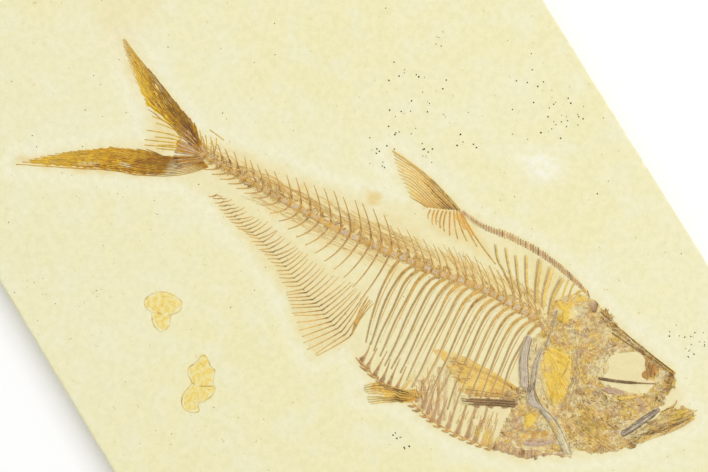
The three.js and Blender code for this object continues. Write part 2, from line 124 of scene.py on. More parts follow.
# Where the stone is tinted by the fish: outline in fish axes, strength, and how far the tint fades, in mm.
TINTS = [
    (SILHOUETTE, 0.14, 5),
    (np.array([(25, -12), (23, -38), (11, -48), (0, -40), (-14, -27), (-58, -6), (-56, 2), (-20, -6)]),
     0.22, 4),
    (np.array([(-75, 14), (-60, 17), (-20, 18), (40, 18), (96, 20), (104, 8), (40, 6), (-30, 5), (-75, 9)]),
     0.48, 3),
    (np.array([(-70, 20), (-20, 22), (30, 24), (30, 13), (-30, 12), (-75, 13)]), 0.26, 4),
    (np.array([(-50, 9), (30, 7), (34, 0), (0, -1), (-40, 3)]), 0.42, 4),
    (np.array([(30, 20), (100, 30), (104, 8), (30, 6)]), 0.12, 4),
    (np.array([(-80, 14), (-128, 43), (-120, 34), (-99, 20), (-98, 5), (-90, 8)]), 0.35, 4),
    (np.array([(-118, 38), (-130, 56), (-146, 58), (-136, 44), (-122, 34)]), 0.16, 9),
    (np.array([(-150, 84), (-122, 84), (-126, 62), (-146, 60)]), 0.16, 12),
    (np.array([(-92, 5), (-148, -25), (-120, -17), (-92, -6)]), 0.5, 3),
    (np.array([(45, 38), (31, 33), (34, 27), (70, 24), (58, 33)]), 0.35, 3),
    (np.array([(104, 26), (136, 20), (166, 12), (181, -3), (157, -30), (128, -44), (106, -40), (98, -10)]),
     0.22, 4),
    (np.array([(60, -30), (100, -20), (106, -40), (104, -54), (70, -54), (58, -48)]), 0.28, 5),
    (np.array([(137, 9), (146, 14), (152, 12), (159, 5), (154, -2), (142, -4), (137, -2)]), 0.28, 3),
    (np.array([(84, 34), (102, 30), (104, 18), (92, 20)]), 0.4, 3),
    (np.array([(2, 30), (6, 24), (10, 24), (8, 29)]), 0.5, 2.4),
]
CHALKY_PLACE = (69, 74)  # a worn, whiter patch
CHALKY_SPREAD = (10, 6.5)


def stone_marks(x, y):
    """How strongly the stone is stained and how chalky it is at a place, each from 0 to 1.

    The stain is the strongest of TINTS there. Chalk is a bell round CHALKY_PLACE, and a faint rim about
    5 mm outside the silhouette.
    """
    stain = np.zeros(np.shape(x))
    for outline, strength, fade in TINTS:
        ragged = inside(x, y, outline) + 1.2 * waves(x, y, 9, 4)
        stain = np.maximum(stain, strength * soft_step(ragged, -fade, fade * 0.4))
    away = ((x - CHALKY_PLACE[0]) / CHALKY_SPREAD[0]) ** 2 + ((y - CHALKY_PLACE[1]) / CHALKY_SPREAD[1]) ** 2
    rim = np.exp(-(((inside(x, y, SILHOUETTE) + 5) / 3.5) ** 2))
    chalk = np.exp(-away) * (0.8 + 0.4 * waves(x, y, 6, 5)) + 0.3 * rim
    return stain, np.clip(chalk, 0, 1)


def linear(red, green, blue):
    """A colour of 0 to 255 display values as the linear red, green, blue and alpha that shaders take."""
    shares = np.array([red, green, blue]) / 255
    straight = np.where(shares <= 0.04045, shares / 12.92, ((shares + 0.055) / 1.055) ** 2.4)
    return (*straight.tolist(), 1.0)


def add_node(tree, kind, values=None, **settings):
    """A new shader node: `settings` are its options, and `values` its sockets, as numbers or as links."""
    made = tree.nodes.new("ShaderNode" + kind)
    for option, choice in settings.items():
        setattr(made, option, choice)
    for socket, value in (values or {}).items():
        if isinstance(value, bpy.types.NodeSocket):
            tree.links.new(value, made.inputs[socket])
        else:
            made.inputs[socket].default_value = value
    return made


def calculate(tree, operation, first, second):
    """One arithmetic step on two numbers or links."""
    return add_node(tree, "Math", {0: first, 1: second}, operation=operation).outputs[0]


def remap(tree, value, low, high, to_low=0.0, to_high=1.0):
    """A soft step of a value between low and high, to the range from to_low to to_high."""
    sockets = {"Value": value, "From Min": low, "From Max": high, "To Min": to_low, "To Max": to_high}
    return add_node(tree, "MapRange", sockets, interpolation_type="SMOOTHSTEP").outputs["Result"]


def mix_colours(tree, factor, first, second, blend="MIX"):
    """Two colours mixed by a factor from 0, the first, to 1, the second."""
    sockets = {0: factor, 6: first, 7: second}
    return add_node(tree, "Mix", sockets, data_type="RGBA", blend_type=blend).outputs[2]


def noise(tree, place, scale, detail=2.0, stretch=None):
    """Noise of `scale` lumps a metre at a place, or a millimetre on a UV map, stretched along its axes."""
    if stretch is not None:
        place = add_node(tree, "Mapping", {"Vector": place, "Scale": stretch}).outputs[0]
    return add_node(tree, "TexNoise", {"Vector": place, "Scale": scale, "Detail": detail}).outputs["Fac"]


def mark(tree, name):
    """A number that a mesh keeps at each of its points."""
    return add_node(tree, "Attribute", attribute_name=name).outputs["Fac"]


CREAM = linear(236, 230, 189)
BUTTER = linear(235, 228, 181)
PALE = linear(236, 233, 203)
CHALK = linear(242, 240, 222)
STAIN = linear(226, 188, 92)
RUST = linear(206, 178, 96)
SAWN_BAND = linear(224, 214, 168)


def limestone_nodes(tree):
    """The stone's colour and its height for bumps. Bones use it too, where they thin out into the stone."""
    place = add_node(tree, "TexCoord").outputs["Object"]
    broad = noise(tree, place, 11, 3)
    cloud = noise(tree, place, 75, 4)
    grain = noise(tree, place, 1300, 3)
    colour = mix_colours(tree, remap(tree, broad, 0.4, 0.66), CREAM, BUTTER)
    colour = mix_colours(tree, remap(tree, cloud, 0.42, 0.75, 0, 0.6), colour, PALE)
    colour = mix_colours(tree, mark(tree, "chalk"), colour, CHALK)
    blotch = calculate(tree, "MULTIPLY", mark(tree, "stain"), remap(tree, cloud, 0.25, 0.75, 0.75, 1.25))
    colour = mix_colours(tree, blotch, colour, STAIN)
    flecks = remap(tree, noise(tree, place, 520, 1), 0.73, 0.80, 0, 0.5)
    colour = mix_colours(tree, flecks, colour, RUST)
    laminae = noise(tree, place, 12, 3, stretch=(0.8, 0.8, 60))
    banding = calculate(tree, "MULTIPLY", mark(tree, "side"), remap(tree, laminae, 0.42, 0.6))
    colour = mix_colours(tree, banding, colour, SAWN_BAND)
    lumps = noise(tree, place, 330, 3)
    mixed = calculate(tree, "ADD", calculate(tree, "MULTIPLY", lumps, 0.6),
                      calculate(tree, "MULTIPLY", grain, 0.4))
    speckle = add_node(tree, "CombineColor", {
        0: remap(tree, mixed, 0.36, 0.64, 0.955, 1.02),
        1: remap(tree, mixed, 0.36, 0.64, 0.962, 1.018),
        2: remap(tree, mixed, 0.36, 0.64, 0.925, 1.035),
    }).outputs[0]
    colour = mix_colours(tree, 1.0, colour, speckle, "MULTIPLY")
    return colour, grain


def finish_limestone():
    """Matt cream stone with a fine grain, faint clouds, rusty flecks and, on its sides, thin layers."""
    material = bpy.data.materials.new("limestone")
    material.use_nodes = True
    tree = material.node_tree
    shader = tree.nodes["Principled BSDF"]
    colour, grain = limestone_nodes(tree)
    bump = add_node(tree, "Bump", {"Height": grain, "Strength": 0.25, "Distance": 0.06 * MM})
    tree.links.new(colour, shader.inputs["Base Color"])
    tree.links.new(bump.outputs[0], shader.inputs["Normal"])
    shader.inputs["Roughness"].default_value = 0.92
    shader.inputs["Specular IOR Level"].default_value = 0.25
    return material


MARKS = ("cover", "core", "dark", "tint", "side")
# Where minerals coloured the bone: soft ellipses in the fish's frame, each its middle, half its length,
# half its width, in mm, its angle in degrees and its strength.
MINERAL_ZONES = {
    "gold": [
        (115, -3, 7, 4.6, -10, 1), (117.6, -14, 8.5, 4.8, -62, 1), (108.3, 16.6, 3.4, 5.2, 0, 0.9),
        (112, 26.6, 2.8, 1.2, 40, 0.9), (114.5, -34.5, 2.4, 3.6, 0, 1), (126, -32.8, 3.8, 1.3, -38, 0.8),
        (149, -7.4, 4.6, 1.2, 22, 0.8), (176, -3.8, 4.8, 2, 62, 0.8), (168, -17.4, 1.4, 1, 0, 0.8),
        (99.6, -49.6, 5.4, 3.4, -10, 0.8), (157, 6.8, 3.2, 0.8, 35, 0.6), (57, -40.6, 4.4, 1.2, 78, 0.7),
        (-122, 38.4, 11, 3.4, -38, 0.65), (-112, 29, 6, 2.4, -38, 0.7), (-132, -16.6, 19, 5, 32, 0.6),
        (-106, -0.6, 13, 3.4, 22, 0.35), (-95, 14, 8, 5, 0, 0.5), (104, 2.6, 2.4, 1.6, 0, 0.5),
        (142, -30, 9, 3.6, 20, 0.35), (139, -25, 8, 2.6, 6, 0.45), (21, 40, 6, 4, -60, 0.35),
    ],
    "cream": [
        (103.2, -6.5, 1.6, 6.4, 8, 1), (113.6, 20.6, 3, 5.4, -28, 0.8), (112.6, -17.4, 8, 2.1, -52, 0.85),
        (121.2, -33.9, 4.4, 2, 0, 1), (134, -36.8, 6, 2.2, -42, 0.7), (134, 3, 4, 6, 0, 0.7),
        (146, -1.8, 10, 1.8, 18, 0.9), (132.4, 1.6, 3, 4.6, -10, 0.8), (162.6, -19, 6, 1.7, 40, 0.8),
        (140, 17.8, 6, 1.1, -10, 0.6), (161, 10.2, 1.5, 2.4, 0, 0.9),
        (161.6, -18.6, 6.4, 1.7, 52, 0.6), (128, 17, 3, 3, 0, 0.4), (118, 8, 4, 3, 0, 0.35),
        (143, -12, 5, 1.8, 15, 0.45), (-105, 32, 3.6, 0.7, -28, 0.8), (-98, 28.6, 2.4, 0.5, -28, 0.7),
        (-104, -7, 3.4, 1, 12, 0.9), (-119, -13.4, 5, 0.8, 30, 0.7),
    ],
    "mauve": [
        (144, -6, 4.6, 1.4, 14, 0.9), (122.4, -41.8, 7.4, 2, 30, 0.8), (110, -38.6, 3, 3.4, 0, 0.5),
        (112.4, -9.6, 2.2, 1.6, 0, 0.5), (118.6, 26, 2.4, 2.6, 0, 0.4), (-86, 19.6, 3, 2, -30, 0.5),
        (123.6, -4, 1.7, 9, 25, 0.5), (158.6, -6.6, 1.8, 1.8, 0, 0.6), (101.2, 6.3, 1.7, 1, 20, 1),
        (-81, 13, 4.4, 2, -10, 0.45), (122, 16, 3, 2, 0, 0.35), (76, -49, 12, 3, -8, 0.35),
    ],
    "umber": [
        (130, -12.6, 2.2, 1.8, 0, 0.7), (154, 10.4, 2.6, 5.4, 8, 0.7), (163, -24.6, 3, 1.5, 50, 0.9),
        (165.4, 9.4, 1.8, 3.4, 0, 0.6), (117.6, -49.6, 1.6, 1.6, 0, 0.8), (120, -38.4, 6.4, 1.8, 20, 0.5),
        (139, -24.6, 8, 2.6, 6, 0.35), (152, 15.6, 9, 1.3, -16, 0.5), (-91, -2.6, 4, 3.4, 20, 0.2),
        (179, -8, 5.4, 1, 58, 0.5), (148, -34.6, 8, 1.4, 22, 0.3),
    ],
}


def mineral_marks(x, y):
    """How golden, creamy, mauve and umber the bone is at a place: the strongest soft ellipse there."""
    ragged = 0.18 * waves(x, y, 2.4, 12)
    marks = {}
    for key, ellipses in MINERAL_ZONES.items():
        marks[key] = np.zeros(len(x))
        for middle_x, middle_y, long, wide, angle, strength in ellipses:
            cos, sin = math.cos(math.radians(angle)), math.sin(math.radians(angle))
            u = ((x - middle_x) * cos + (y - middle_y) * sin) / long
            v = ((y - middle_y) * cos - (x - middle_x) * sin) / wide
            share = soft_step(-np.hypot(u, v) - ragged, -1.25, -0.7)
            marks[key] = np.maximum(marks[key], strength * share)
    return marks


def make_piece(name, slot, material, parts, *replaced):
    """One object from closed surfaces laid end to end, each with its points, faces, marks and grain.

    A point's stain and chalk are those of the stone there times its `shown`, and its mineral colours
    those of mineral_marks times its `zoned`.
    """
    starts = np.cumsum([0] + [len(part["place"]) for part in parts])
    faces = []
    for start, part in zip(starts, parts):
        faces += (part["quads"] + start).tolist()
        faces += (part["tris"] + start).tolist()
    mesh = bpy.data.meshes.new(name)
    mesh.from_pydata(np.concatenate([part["place"] for part in parts]).tolist(), [], faces)
    flat = np.concatenate([part["flat"] for part in parts])
    stain, chalk = stone_marks(flat[:, 0], flat[:, 1])
    shown = np.concatenate([np.broadcast_to(part.get("shown", 1.0), len(part["place"])) for part in parts])
    marks = {key: np.concatenate([np.broadcast_to(part.get(key, 0.0), len(part["place"]))
                                  for part in parts]) for key in MARKS}
    zoned = np.concatenate([np.full(len(part["place"]), part.get("zoned", 1.0)) for part in parts])
    for key, values in mineral_marks(flat[:, 0], flat[:, 1]).items():
        marks[key] = values * zoned
    for key, values in {**marks, "stain": stain * shown, "chalk": chalk * shown}.items():
        mesh.attributes.new(key, "FLOAT", "POINT").data.foreach_set("value", values.astype(np.float32))
    grain = np.concatenate([part["grain"] for part in parts])
    corners = np.empty(len(mesh.loops), np.int32)
    mesh.loops.foreach_get("vertex_index", corners)
    mesh.uv_layers.new(name="grain").data.foreach_set("uv", grain[corners].astype(np.float32).ravel())
    mesh.polygons.foreach_set("use_smooth", np.ones(len(mesh.polygons), bool))
    mesh.materials.append(material)
    piece = bpy.data.objects.new(name, mesh)
    bpy.context.scene.collection.objects.link(piece)
    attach(piece, "root")
    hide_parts(*replaced)
    return piece


def slab_surface():
    """The slab as one closed surface.

    Its face and underside are the same grid of points, (x, v * half width at x), one following
    face_relief and one the terraces of a split bed. Its sides are the grid's rim at SIDE_LEVELS of the
    height, drawn in by the rounded arris, chips and saw marks. Only the face is stained.
    """
    corners = np.empty(len(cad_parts["slab"].data.vertices) * 3)
    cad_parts["slab"].data.vertices.foreach_get("co", corners)
    corners = corners.reshape(-1, 3)
    narrow = corners[corners[:, 0] < SLAB_LOW.x + MM, 1].max() / MM
    wide = corners[corners[:, 0] > SLAB_HIGH.x - MM, 1].max() / MM
    half_length = (SLAB_HIGH.x - SLAB_LOW.x) / 2 / MM
    thickness = (SLAB_HIGH.z - SLAB_LOW.z) / MM
    rows = int(2 * half_length / GRID_STEP)
    columns = int(2 * wide / GRID_STEP)
    u, v = np.meshgrid(np.linspace(-1, 1, rows), np.linspace(-1, 1, columns), indexing="ij")
    x = u * half_length
    y = v * (narrow + (wide - narrow) * (u + 1) / 2)
    number = np.arange(rows * columns).reshape(rows, columns)
    rim = np.concatenate([number[:-1, 0], number[-1, :-1], number[:0:-1, -1], number[0, :0:-1]])
    rx, ry = x.ravel()[rim], y.ravel()[rim]
    out = np.stack([np.where(np.abs(u.ravel()[rim]) == 1, u.ravel()[rim], 0),
                    np.where(np.abs(v.ravel()[rim]) == 1, v.ravel()[rim], 0)], -1)
    chips = np.clip(waves(rx, ry, 11, 6) - 0.9, 0, 0.8) + 0.12 * np.abs(waves(rx, ry, 3.5, 7))
    levels = SIDE_LEVELS[:, None]
    arris = 0.5 * np.exp(-levels * 26) + 0.35 * np.exp(-(1 - levels) * 26)
    layers = 0.10 * np.abs(waves(rx * 0.25, levels * 60 + ry * 0.25, 9, 8))
    inset = arris + chips * np.exp(-levels * 7) + layers + 0.06 * np.abs(waves(rx, ry + levels * 4, 2.5, 9))
    side_x = rx - out[:, 0] * inset
    side_y = ry - out[:, 1] * inset
    cos, sin = math.cos(HEADING), math.sin(HEADING)
    fish_x, fish_y = x * cos + y * sin, y * cos - x * sin
    top = thickness + face_relief(fish_x, fish_y).ravel()
    top[rim] -= 0.5 * chips
    bottom = np.abs(0.12 * np.floor(2 * waves(x, y, 45, 10)) / 2 + 0.05 * waves(x, y, 8, 11)).ravel()
    bottom[rim] = 0
    face_x, face_y = x.ravel().copy(), y.ravel().copy()
    face_x[rim], face_y[rim] = side_x[0], side_y[0]
    under_x, under_y = x.ravel().copy(), y.ravel().copy()
    under_x[rim], under_y[rim] = side_x[-1], side_y[-1]
    side_z = top[rim] * (1 - levels)
    place = np.concatenate([
        np.stack([face_x, face_y, top], -1),
        np.stack([side_x[1:-1], side_y[1:-1], side_z[1:-1]], -1).reshape(-1, 3),
        np.stack([under_x, under_y, bottom], -1),
    ])
    count, girth, last = rows * columns, len(rim), len(SIDE_LEVELS) - 1
    rings = np.concatenate([rim[None], count + np.arange((last - 1) * girth).reshape(last - 1, girth),
                            rim[None] + count + (last - 1) * girth])
    face = np.stack([number[:-1, :-1], number[1:, :-1], number[1:, 1:], number[:-1, 1:]], -1).reshape(-1, 4)
    after = np.roll(rings, -1, axis=1)
    sides = np.stack([rings[:-1], rings[1:], after[1:], after[:-1]], -1).reshape(-1, 4)
    under = face[:, ::-1] + count + (last - 1) * girth
    side_share = np.zeros(len(place))
    side_share[count:count + (last - 1) * girth] = 1
    side_share[rings[-1]] = 1
    shown = np.zeros(len(place))
    shown[:count] = 1
    rounded = np.stack([place[:, 0] * cos + place[:, 1] * sin, place[:, 1] * cos - place[:, 0] * sin], -1)
    return {
        "place": place * MM + np.array([SLAB_MIDDLE.x, SLAB_MIDDLE.y, SLAB_LOW.z]),
        "flat": rounded, "grain": place[:, :2], "side": side_share, "shown": shown,
        "quads": np.concatenate([face, sides, under]), "tris": np.zeros((0, 3), int),
    }


make_piece("limestone_slab", "limestone", finish_limestone(), [slab_surface()], "slab")

# ---- The backbone: vertebrae, with the spines that grow from them ----
# Petrified bone, pale and mauve where it is thick and amber-brown where it is thin or joined. Each
# vertebra is a spool, pressed half flat. Spines lean to the tail; behind the ribs they hang down too.
# Its three runs: how many vertebrae, the x of the first joint and the pitch of the joints, in mm.
TRUNK_VERTEBRAE, TRUNK_START, TRUNK_PITCH = 18, 97.6, 4.09
MIDDLE_VERTEBRAE, MIDDLE_START, MIDDLE_PITCH = 13, 24, 5.15
TAIL_VERTEBRAE, TAIL_START, TAIL_PITCH = 8, -37.8, 4.3
# Across a strand, from its left edge to its right: place, height, cover and how much is core.
ACROSS = np.array([1, 0.74, 0.45, 0, -0.45, -0.74, -1])
RIDGE = np.array([0, 0.2, 0.8, 1, 0.8, 0.2, 0])
FEATHER = np.array([0, 0.55, 1, 1, 1, 0.55, 0])
HEARTWOOD = np.array([0, 0.15, 0.8, 1, 0.8, 0.15, 0])
# How a strand is bedded in the stone, in mm, and how far its tips reach past it, in widths.
EDGE_LIFT, TIP_LIFT, KEEL_LIFT = 0.03, -0.05, -0.4
TIP_REACH = 0.4


def curve(points, count, closed=False):
    """A smooth Catmull-Rom line through the points, as `count` places evenly spaced along it."""
    knots = np.asarray(points, float)
    if closed:
        knots = np.vstack([knots[-1], knots, knots[0], knots[1]])
    else:
        knots = np.vstack([2 * knots[0] - knots[1], knots, 2 * knots[-1] - knots[-2]])
    a, b, c, d = knots[:-3], knots[1:-2], knots[2:-1], knots[3:]
    t = np.linspace(0, 1, 16, endpoint=False)[:, None, None]
    spans = 0.5 * (2 * b + (c - a) * t + (2 * a - 5 * b + 4 * c - d) * t**2
                   + (3 * b - a - 3 * c + d) * t**3)
    fine = np.vstack([spans.transpose(1, 0, 2).reshape(-1, 2), knots[-2]])
    length = np.concatenate([[0], np.cumsum(np.hypot(*np.diff(fine, axis=0).T))])
    stops = np.linspace(0, length[-1], count, endpoint=not closed)
    return np.stack([np.interp(stops, length, fine[:, axis]) for axis in (0, 1)], -1)


def bowed(starts, middles, ends, samples):
    """Lines that start, pass a middle at half way and end, each as the parabola through the three."""
    t = np.linspace(0, 1, samples)[None, :, None]
    a, b, c = (np.asarray(points, float)[:, None] for points in (starts, middles, ends))
    return a * (2 * t - 1) * (t - 1) + 4 * b * t * (1 - t) + c * t * (2 * t - 1)


def strands(lines, width, height, seed, core=1.0, dark=0.0, cover=1.0, profile=RIDGE, heart=HEARTWOOD,
            rough=0.12, spread=0.35, over=0.0):
    """Closed ridges laid along lines of shape (strand, sample, 2), in mm.

    At each sample a section stands across the line: ACROSS times half the width, raised by the profile
    times the height, roughened by sine waves and lifted `over` whatever lies below. A keel 0.4 mm down in
    the stone closes it below, and a point closes it at each end. Width, height, core, dark and cover are
    numbers or (strand, sample) arrays.
    """
    lines = np.asarray(lines, float)
    count, samples = lines.shape[:2]
    draw = np.random.default_rng(seed)
    width, height, core, dark, cover = (np.broadcast_to(value, (count, samples)).astype(float)
                                        for value in (width, height, core, dark, cover))
    along = np.gradient(lines, axis=1)
    along /= np.maximum(np.linalg.norm(along, axis=-1, keepdims=True), 1e-9)
    left = np.stack([-along[..., 1], along[..., 0]], -1)
    offsets = (width / 2)[..., None] * ACROSS
    flat = lines[:, :, None] + left[:, :, None] * offsets[..., None]
    bumps = 1 + rough * waves(flat[..., 0], flat[..., 1], 1.4, seed)
    lift = EDGE_LIFT + height[..., None] * profile * bumps + over * (profile > 0)
    flat = np.concatenate([flat, lines[:, :, None]], 2)
    lift = np.concatenate([lift, np.full((count, samples, 1), KEEL_LIFT)], 2)
    ring = len(ACROSS) + 1
    tips = np.stack([lines[:, 0] - along[:, 0] * width[:, :1] * TIP_REACH,
                     lines[:, -1] + along[:, -1] * width[:, -1:] * TIP_REACH], 1)
    flat = np.concatenate([flat.reshape(count, -1, 2), tips], 1)
    lift = np.concatenate([lift.reshape(count, -1), np.full((count, 2), TIP_LIFT)], 1)
    size = samples * ring + 2
    base = np.arange(count)[:, None, None] * size
    m = np.arange(samples - 1)[None, :, None] * ring
    r = np.arange(ring)[None, None]
    after = (r + 1) % ring
    quads = np.stack(np.broadcast_arrays(m + r, m + after, m + ring + after, m + ring + r), -1)
    quads = quads + base[..., None]
    r, after, base = r[0, 0], after[0, 0], base[:, 0]
    far = (samples - 1) * ring
    ends = [np.broadcast_arrays(size - 2, after, r), np.broadcast_arrays(size - 1, far + r, far + after)]
    tris = np.concatenate([base[..., None] + np.stack(end, -1)[None] for end in ends])

    def per_point(across, values):
        """A mark at every point: its share across the strand times its value along it."""
        body = values[..., None] * np.append(across, 0)
        return np.concatenate([body.reshape(count, -1), np.zeros((count, 2))], 1).ravel()

    steps = np.linalg.norm(np.diff(lines, axis=1), axis=-1)
    length = np.concatenate([np.zeros((count, 1)), np.cumsum(steps, 1)], 1)[..., None]
    shift = draw.uniform(0, 200, (count, 1, 1))
    sides = np.append(offsets, offsets[..., 3:4], 2)
    grain = np.stack(np.broadcast_arrays(length + shift, sides + shift), -1)
    tip_grain = np.stack([grain[:, 0, 3], grain[:, -1, 3]], 1)
    grain = np.concatenate([grain.reshape(count, -1, 2), tip_grain], 1)
    flat = flat.reshape(-1, 2)
    return {
        "place": on_slab(flat[:, 0], flat[:, 1], lift.ravel()), "flat": flat,
        "grain": grain.reshape(-1, 2), "quads": quads.reshape(-1, 4), "tris": tris.reshape(-1, 3),
        "cover": per_point(FEATHER, cover), "core": per_point(heart, core),
        "dark": per_point(np.ones(len(ACROSS)), dark),
        "tint": np.repeat(draw.normal(0, spread, count), size), "zoned": 0.7,
    }


GOLD = linear(240, 206, 76)
IVORY = linear(240, 230, 180)
MAUVE = linear(201, 169, 144)
UMBER = linear(152, 112, 56)
HONEY = linear(236, 200, 88)
PEACH = linear(237, 195, 116)


def finish_bone(name, edge, core, dark, mottle=520, gloss=0.5, streaks=0.55, shards=0.0, cracked=0.0):
    """Petrified bone: an edge colour that turns to the core colour and to dark in streaks and mottles.

    Streaks follow the grain map, and `streaks` is their share. Shards are warped cells at two sizes, each
    ivory, honey, peach or mauve by `shards`, with broken dark outlines by `cracked`. Where the cover mark
    runs out, the bone thins to the stone's own colour.
    """
    material = bpy.data.materials.new(name)
    material.use_nodes = True
    tree = material.node_tree
    shader = tree.nodes["Principled BSDF"]
    stone = limestone_nodes(tree)[0]
    place = add_node(tree, "TexCoord").outputs["Object"]
    grain_map = add_node(tree, "UVMap", uv_map="grain").outputs[0]
    streak = noise(tree, grain_map, 1.0, 2, stretch=(0.35, 2.6, 1))
    blotch = noise(tree, place, mottle, 4)
    fine = noise(tree, place, 1900, 2)
    streak = calculate(tree, "MULTIPLY", streak, streaks)
    texture = calculate(tree, "ADD", streak, calculate(tree, "MULTIPLY", blotch, 1.3 - streaks))
    texture = calculate(tree, "SUBTRACT", texture, 0.65)
    core_share = remap(tree, calculate(tree, "ADD", mark(tree, "core"), texture), 0.2, 0.85)
    colour = mix_colours(tree, core_share, edge, core)
    outlines = None
    if shards or cracked:
        warp = add_node(tree, "TexNoise", {"Vector": place, "Scale": 380.0, "Detail": 4.0}).outputs["Color"]
        warp = add_node(tree, "VectorMath", {0: warp, "Scale": 4 * MM}, operation="SCALE").outputs[0]
        warped = add_node(tree, "VectorMath", {0: place, 1: warp}, operation="ADD").outputs[0]
        breaks = remap(tree, blotch, 0.36, 0.6, 0.1, 1)
        for cells, share, reach in ((280.0, 1.0, 0.10), (760.0, 0.65, 0.2)):
            pick = add_node(tree, "TexVoronoi", {"Vector": warped, "Scale": cells}).outputs["Color"]
            pick = add_node(tree, "SeparateColor", {0: pick}).outputs[0]
            hue = mix_colours(tree, remap(tree, pick, 0.22, 0.38), IVORY, HONEY)
            hue = mix_colours(tree, remap(tree, pick, 0.5, 0.64), hue, PEACH)
            hue = mix_colours(tree, remap(tree, pick, 0.8, 0.9), hue, MAUVE)
            colour = mix_colours(tree, shards * share, colour, hue)
            cell = add_node(tree, "TexVoronoi", {"Vector": warped, "Scale": cells},
                            feature="DISTANCE_TO_EDGE")
            line = remap(tree, cell.outputs["Distance"], 0.01, reach, cracked, 0)
            line = calculate(tree, "MULTIPLY", line, breaks)
            outlines = calculate(tree, "MAXIMUM", outlines, line) if outlines else line
    for key, mineral_colour in (("gold", GOLD), ("cream", IVORY), ("mauve", MAUVE), ("umber", UMBER)):
        share = calculate(tree, "MULTIPLY", mark(tree, key), remap(tree, blotch, 0.3, 0.6, 0.55, 1))
        colour = mix_colours(tree, share, colour, mineral_colour)
    dark_share = calculate(tree, "ADD", mark(tree, "dark"), calculate(tree, "MULTIPLY", texture, 1.3))
    dark_share = remap(tree, dark_share, 0.12, 0.95)
    if outlines:
        dark_share = calculate(tree, "MAXIMUM", dark_share, outlines)
    colour = mix_colours(tree, dark_share, colour, dark)
    value = calculate(tree, "ADD", 1.0, calculate(tree, "MULTIPLY", mark(tree, "tint"), 0.16))
    colour = add_node(tree, "HueSaturation", {"Color": colour, "Value": value}).outputs[0]
    colour = mix_colours(tree, remap(tree, fine, 0.3, 0.75, 0, 0.34), colour, dark)
    ragged = calculate(tree, "ADD", mark(tree, "cover"), calculate(tree, "MULTIPLY", texture, 0.6))
    cover = remap(tree, ragged, 0.15, 0.8)
    colour = mix_colours(tree, cover, stone, colour)
    height = calculate(tree, "ADD", calculate(tree, "MULTIPLY", texture, 1.4), fine)
    bump = add_node(tree, "Bump", {"Height": height, "Strength": 0.5, "Distance": 0.12 * MM})
    tree.links.new(colour, shader.inputs["Base Color"])
    tree.links.new(remap(tree, cover, 0, 1, 0.92, gloss), shader.inputs["Roughness"])
    tree.links.new(bump.outputs[0], shader.inputs["Normal"])
    shader.inputs["Specular IOR Level"].default_value = 0.3
    return material


def vertebra_joints():
    """The x of each joint in the backbone, from the tail to the head."""
    trunk = TRUNK_START - TRUNK_PITCH * np.arange(TRUNK_VERTEBRAE)
    middle = MIDDLE_START - MIDDLE_PITCH * np.arange(MIDDLE_VERTEBRAE)
    tail = TAIL_START - TAIL_PITCH * np.arange(1, TAIL_VERTEBRAE + 1)
    return np.concatenate([trunk, middle, tail])[::-1]


def centrum_half(x):
    """Half a vertebra's height at x, in mm."""
    return 1.05 + 0.85 * soft_step(x, -75, 0)


JOINTS = vertebra_joints()
column_bone = finish_bone("column_bone", linear(220, 174, 84), linear(216, 196, 166), linear(132, 90, 40))
brown_bone = finish_bone("brown_bone", linear(228, 186, 110), linear(194, 158, 118), linear(130, 90, 50))

share = np.linspace(0, 1, 11)
spool = 0.72 + 0.28 * np.abs(2 * share - 1) ** 1.5 - 0.3 * np.abs(2 * share - 1) ** 12
rear, front = JOINTS[:-1, None], JOINTS[1:, None]
centre_x = rear + (front - rear) * share
centre_lines = np.stack([centre_x, backbone_height(centre_x) - 0.2], -1)
tailward = soft_step(-centre_x, 26, 40)
draw = np.random.default_rng(20)
weathered = draw.uniform(0.45, 1.05, (len(rear), 1))
vertebrae = strands(
    centre_lines, 2.2 * centrum_half(centre_x) * spool, 0.55 + 0.4 * np.abs(2 * share - 1) ** 3, 21,
    core=np.clip(1.6 - 2.1 * np.abs(2 * share - 1) ** 1.8, 0, 1) * weathered * (1 - 0.4 * tailward),
    dark=(0.75 + 0.15 * tailward) * np.abs(2 * share - 1) ** 5 * weathered + 0.1 * tailward,
    profile=np.array([0, 0.6, 0.85, 0.8, 1, 0.6, 0]), heart=np.array([0, 0.3, 1, 1, 0.9, 0.2, 0]),
    rough=0.35)


def leaning_spines(joints, lean, rise, bend):
    """Spines from a vertebra's joints: their base, a point part of the way, and their tip."""
    base = np.stack([joints, backbone_height(joints) + np.sign(rise) * centrum_half(joints) * 0.7], -1)
    middle = base + np.stack([-bend * lean, 0.5 * rise], -1)
    tip = base + np.stack([-lean, rise], -1)
    return base, middle, tip


jitter = draw.normal(0, 1, (2, len(JOINTS)))
trunk = JOINTS > 24
fullness = np.clip((JOINTS + 60) / 80, 0, 1)
upper_lean = np.where(trunk, 9.6, 5.5 + 5.5 * fullness) + 0.4 * jitter[0]
upper_rise = np.where(trunk, 9.6, 7.2 + 7.2 * fullness) + 0.5 * jitter[1]
upper = bowed(*leaning_spines(JOINTS, upper_lean, upper_rise, 0.40), 14)
along = np.linspace(0, 1, 14)
upper_spines = strands(
    upper, np.where(trunk, 0.75, 0.95)[:, None] * (1 - 0.5 * along), 0.42 * (1 - 0.6 * along), 22,
    core=0.75 - 0.5 * along, dark=(0.72 - 0.5 * along) * np.where(trunk, 0.6, 1)[:, None],
    cover=1.15 - 0.45 * along**2)
arch_feet = np.stack([JOINTS + 0.8, backbone_height(JOINTS) + 0.9], -1)
arch_tops = arch_feet + np.stack([-2.9 + 0.3 * jitter[1], 3.0 + 0.4 * jitter[0]], -1)
arch_dark = np.clip(0.3 + 0.2 * jitter[0], 0, 0.7) + 0.2 * soft_step(-JOINTS, 20, 45)
arch_dark -= 0.25 * soft_step(JOINTS, 24, 44)
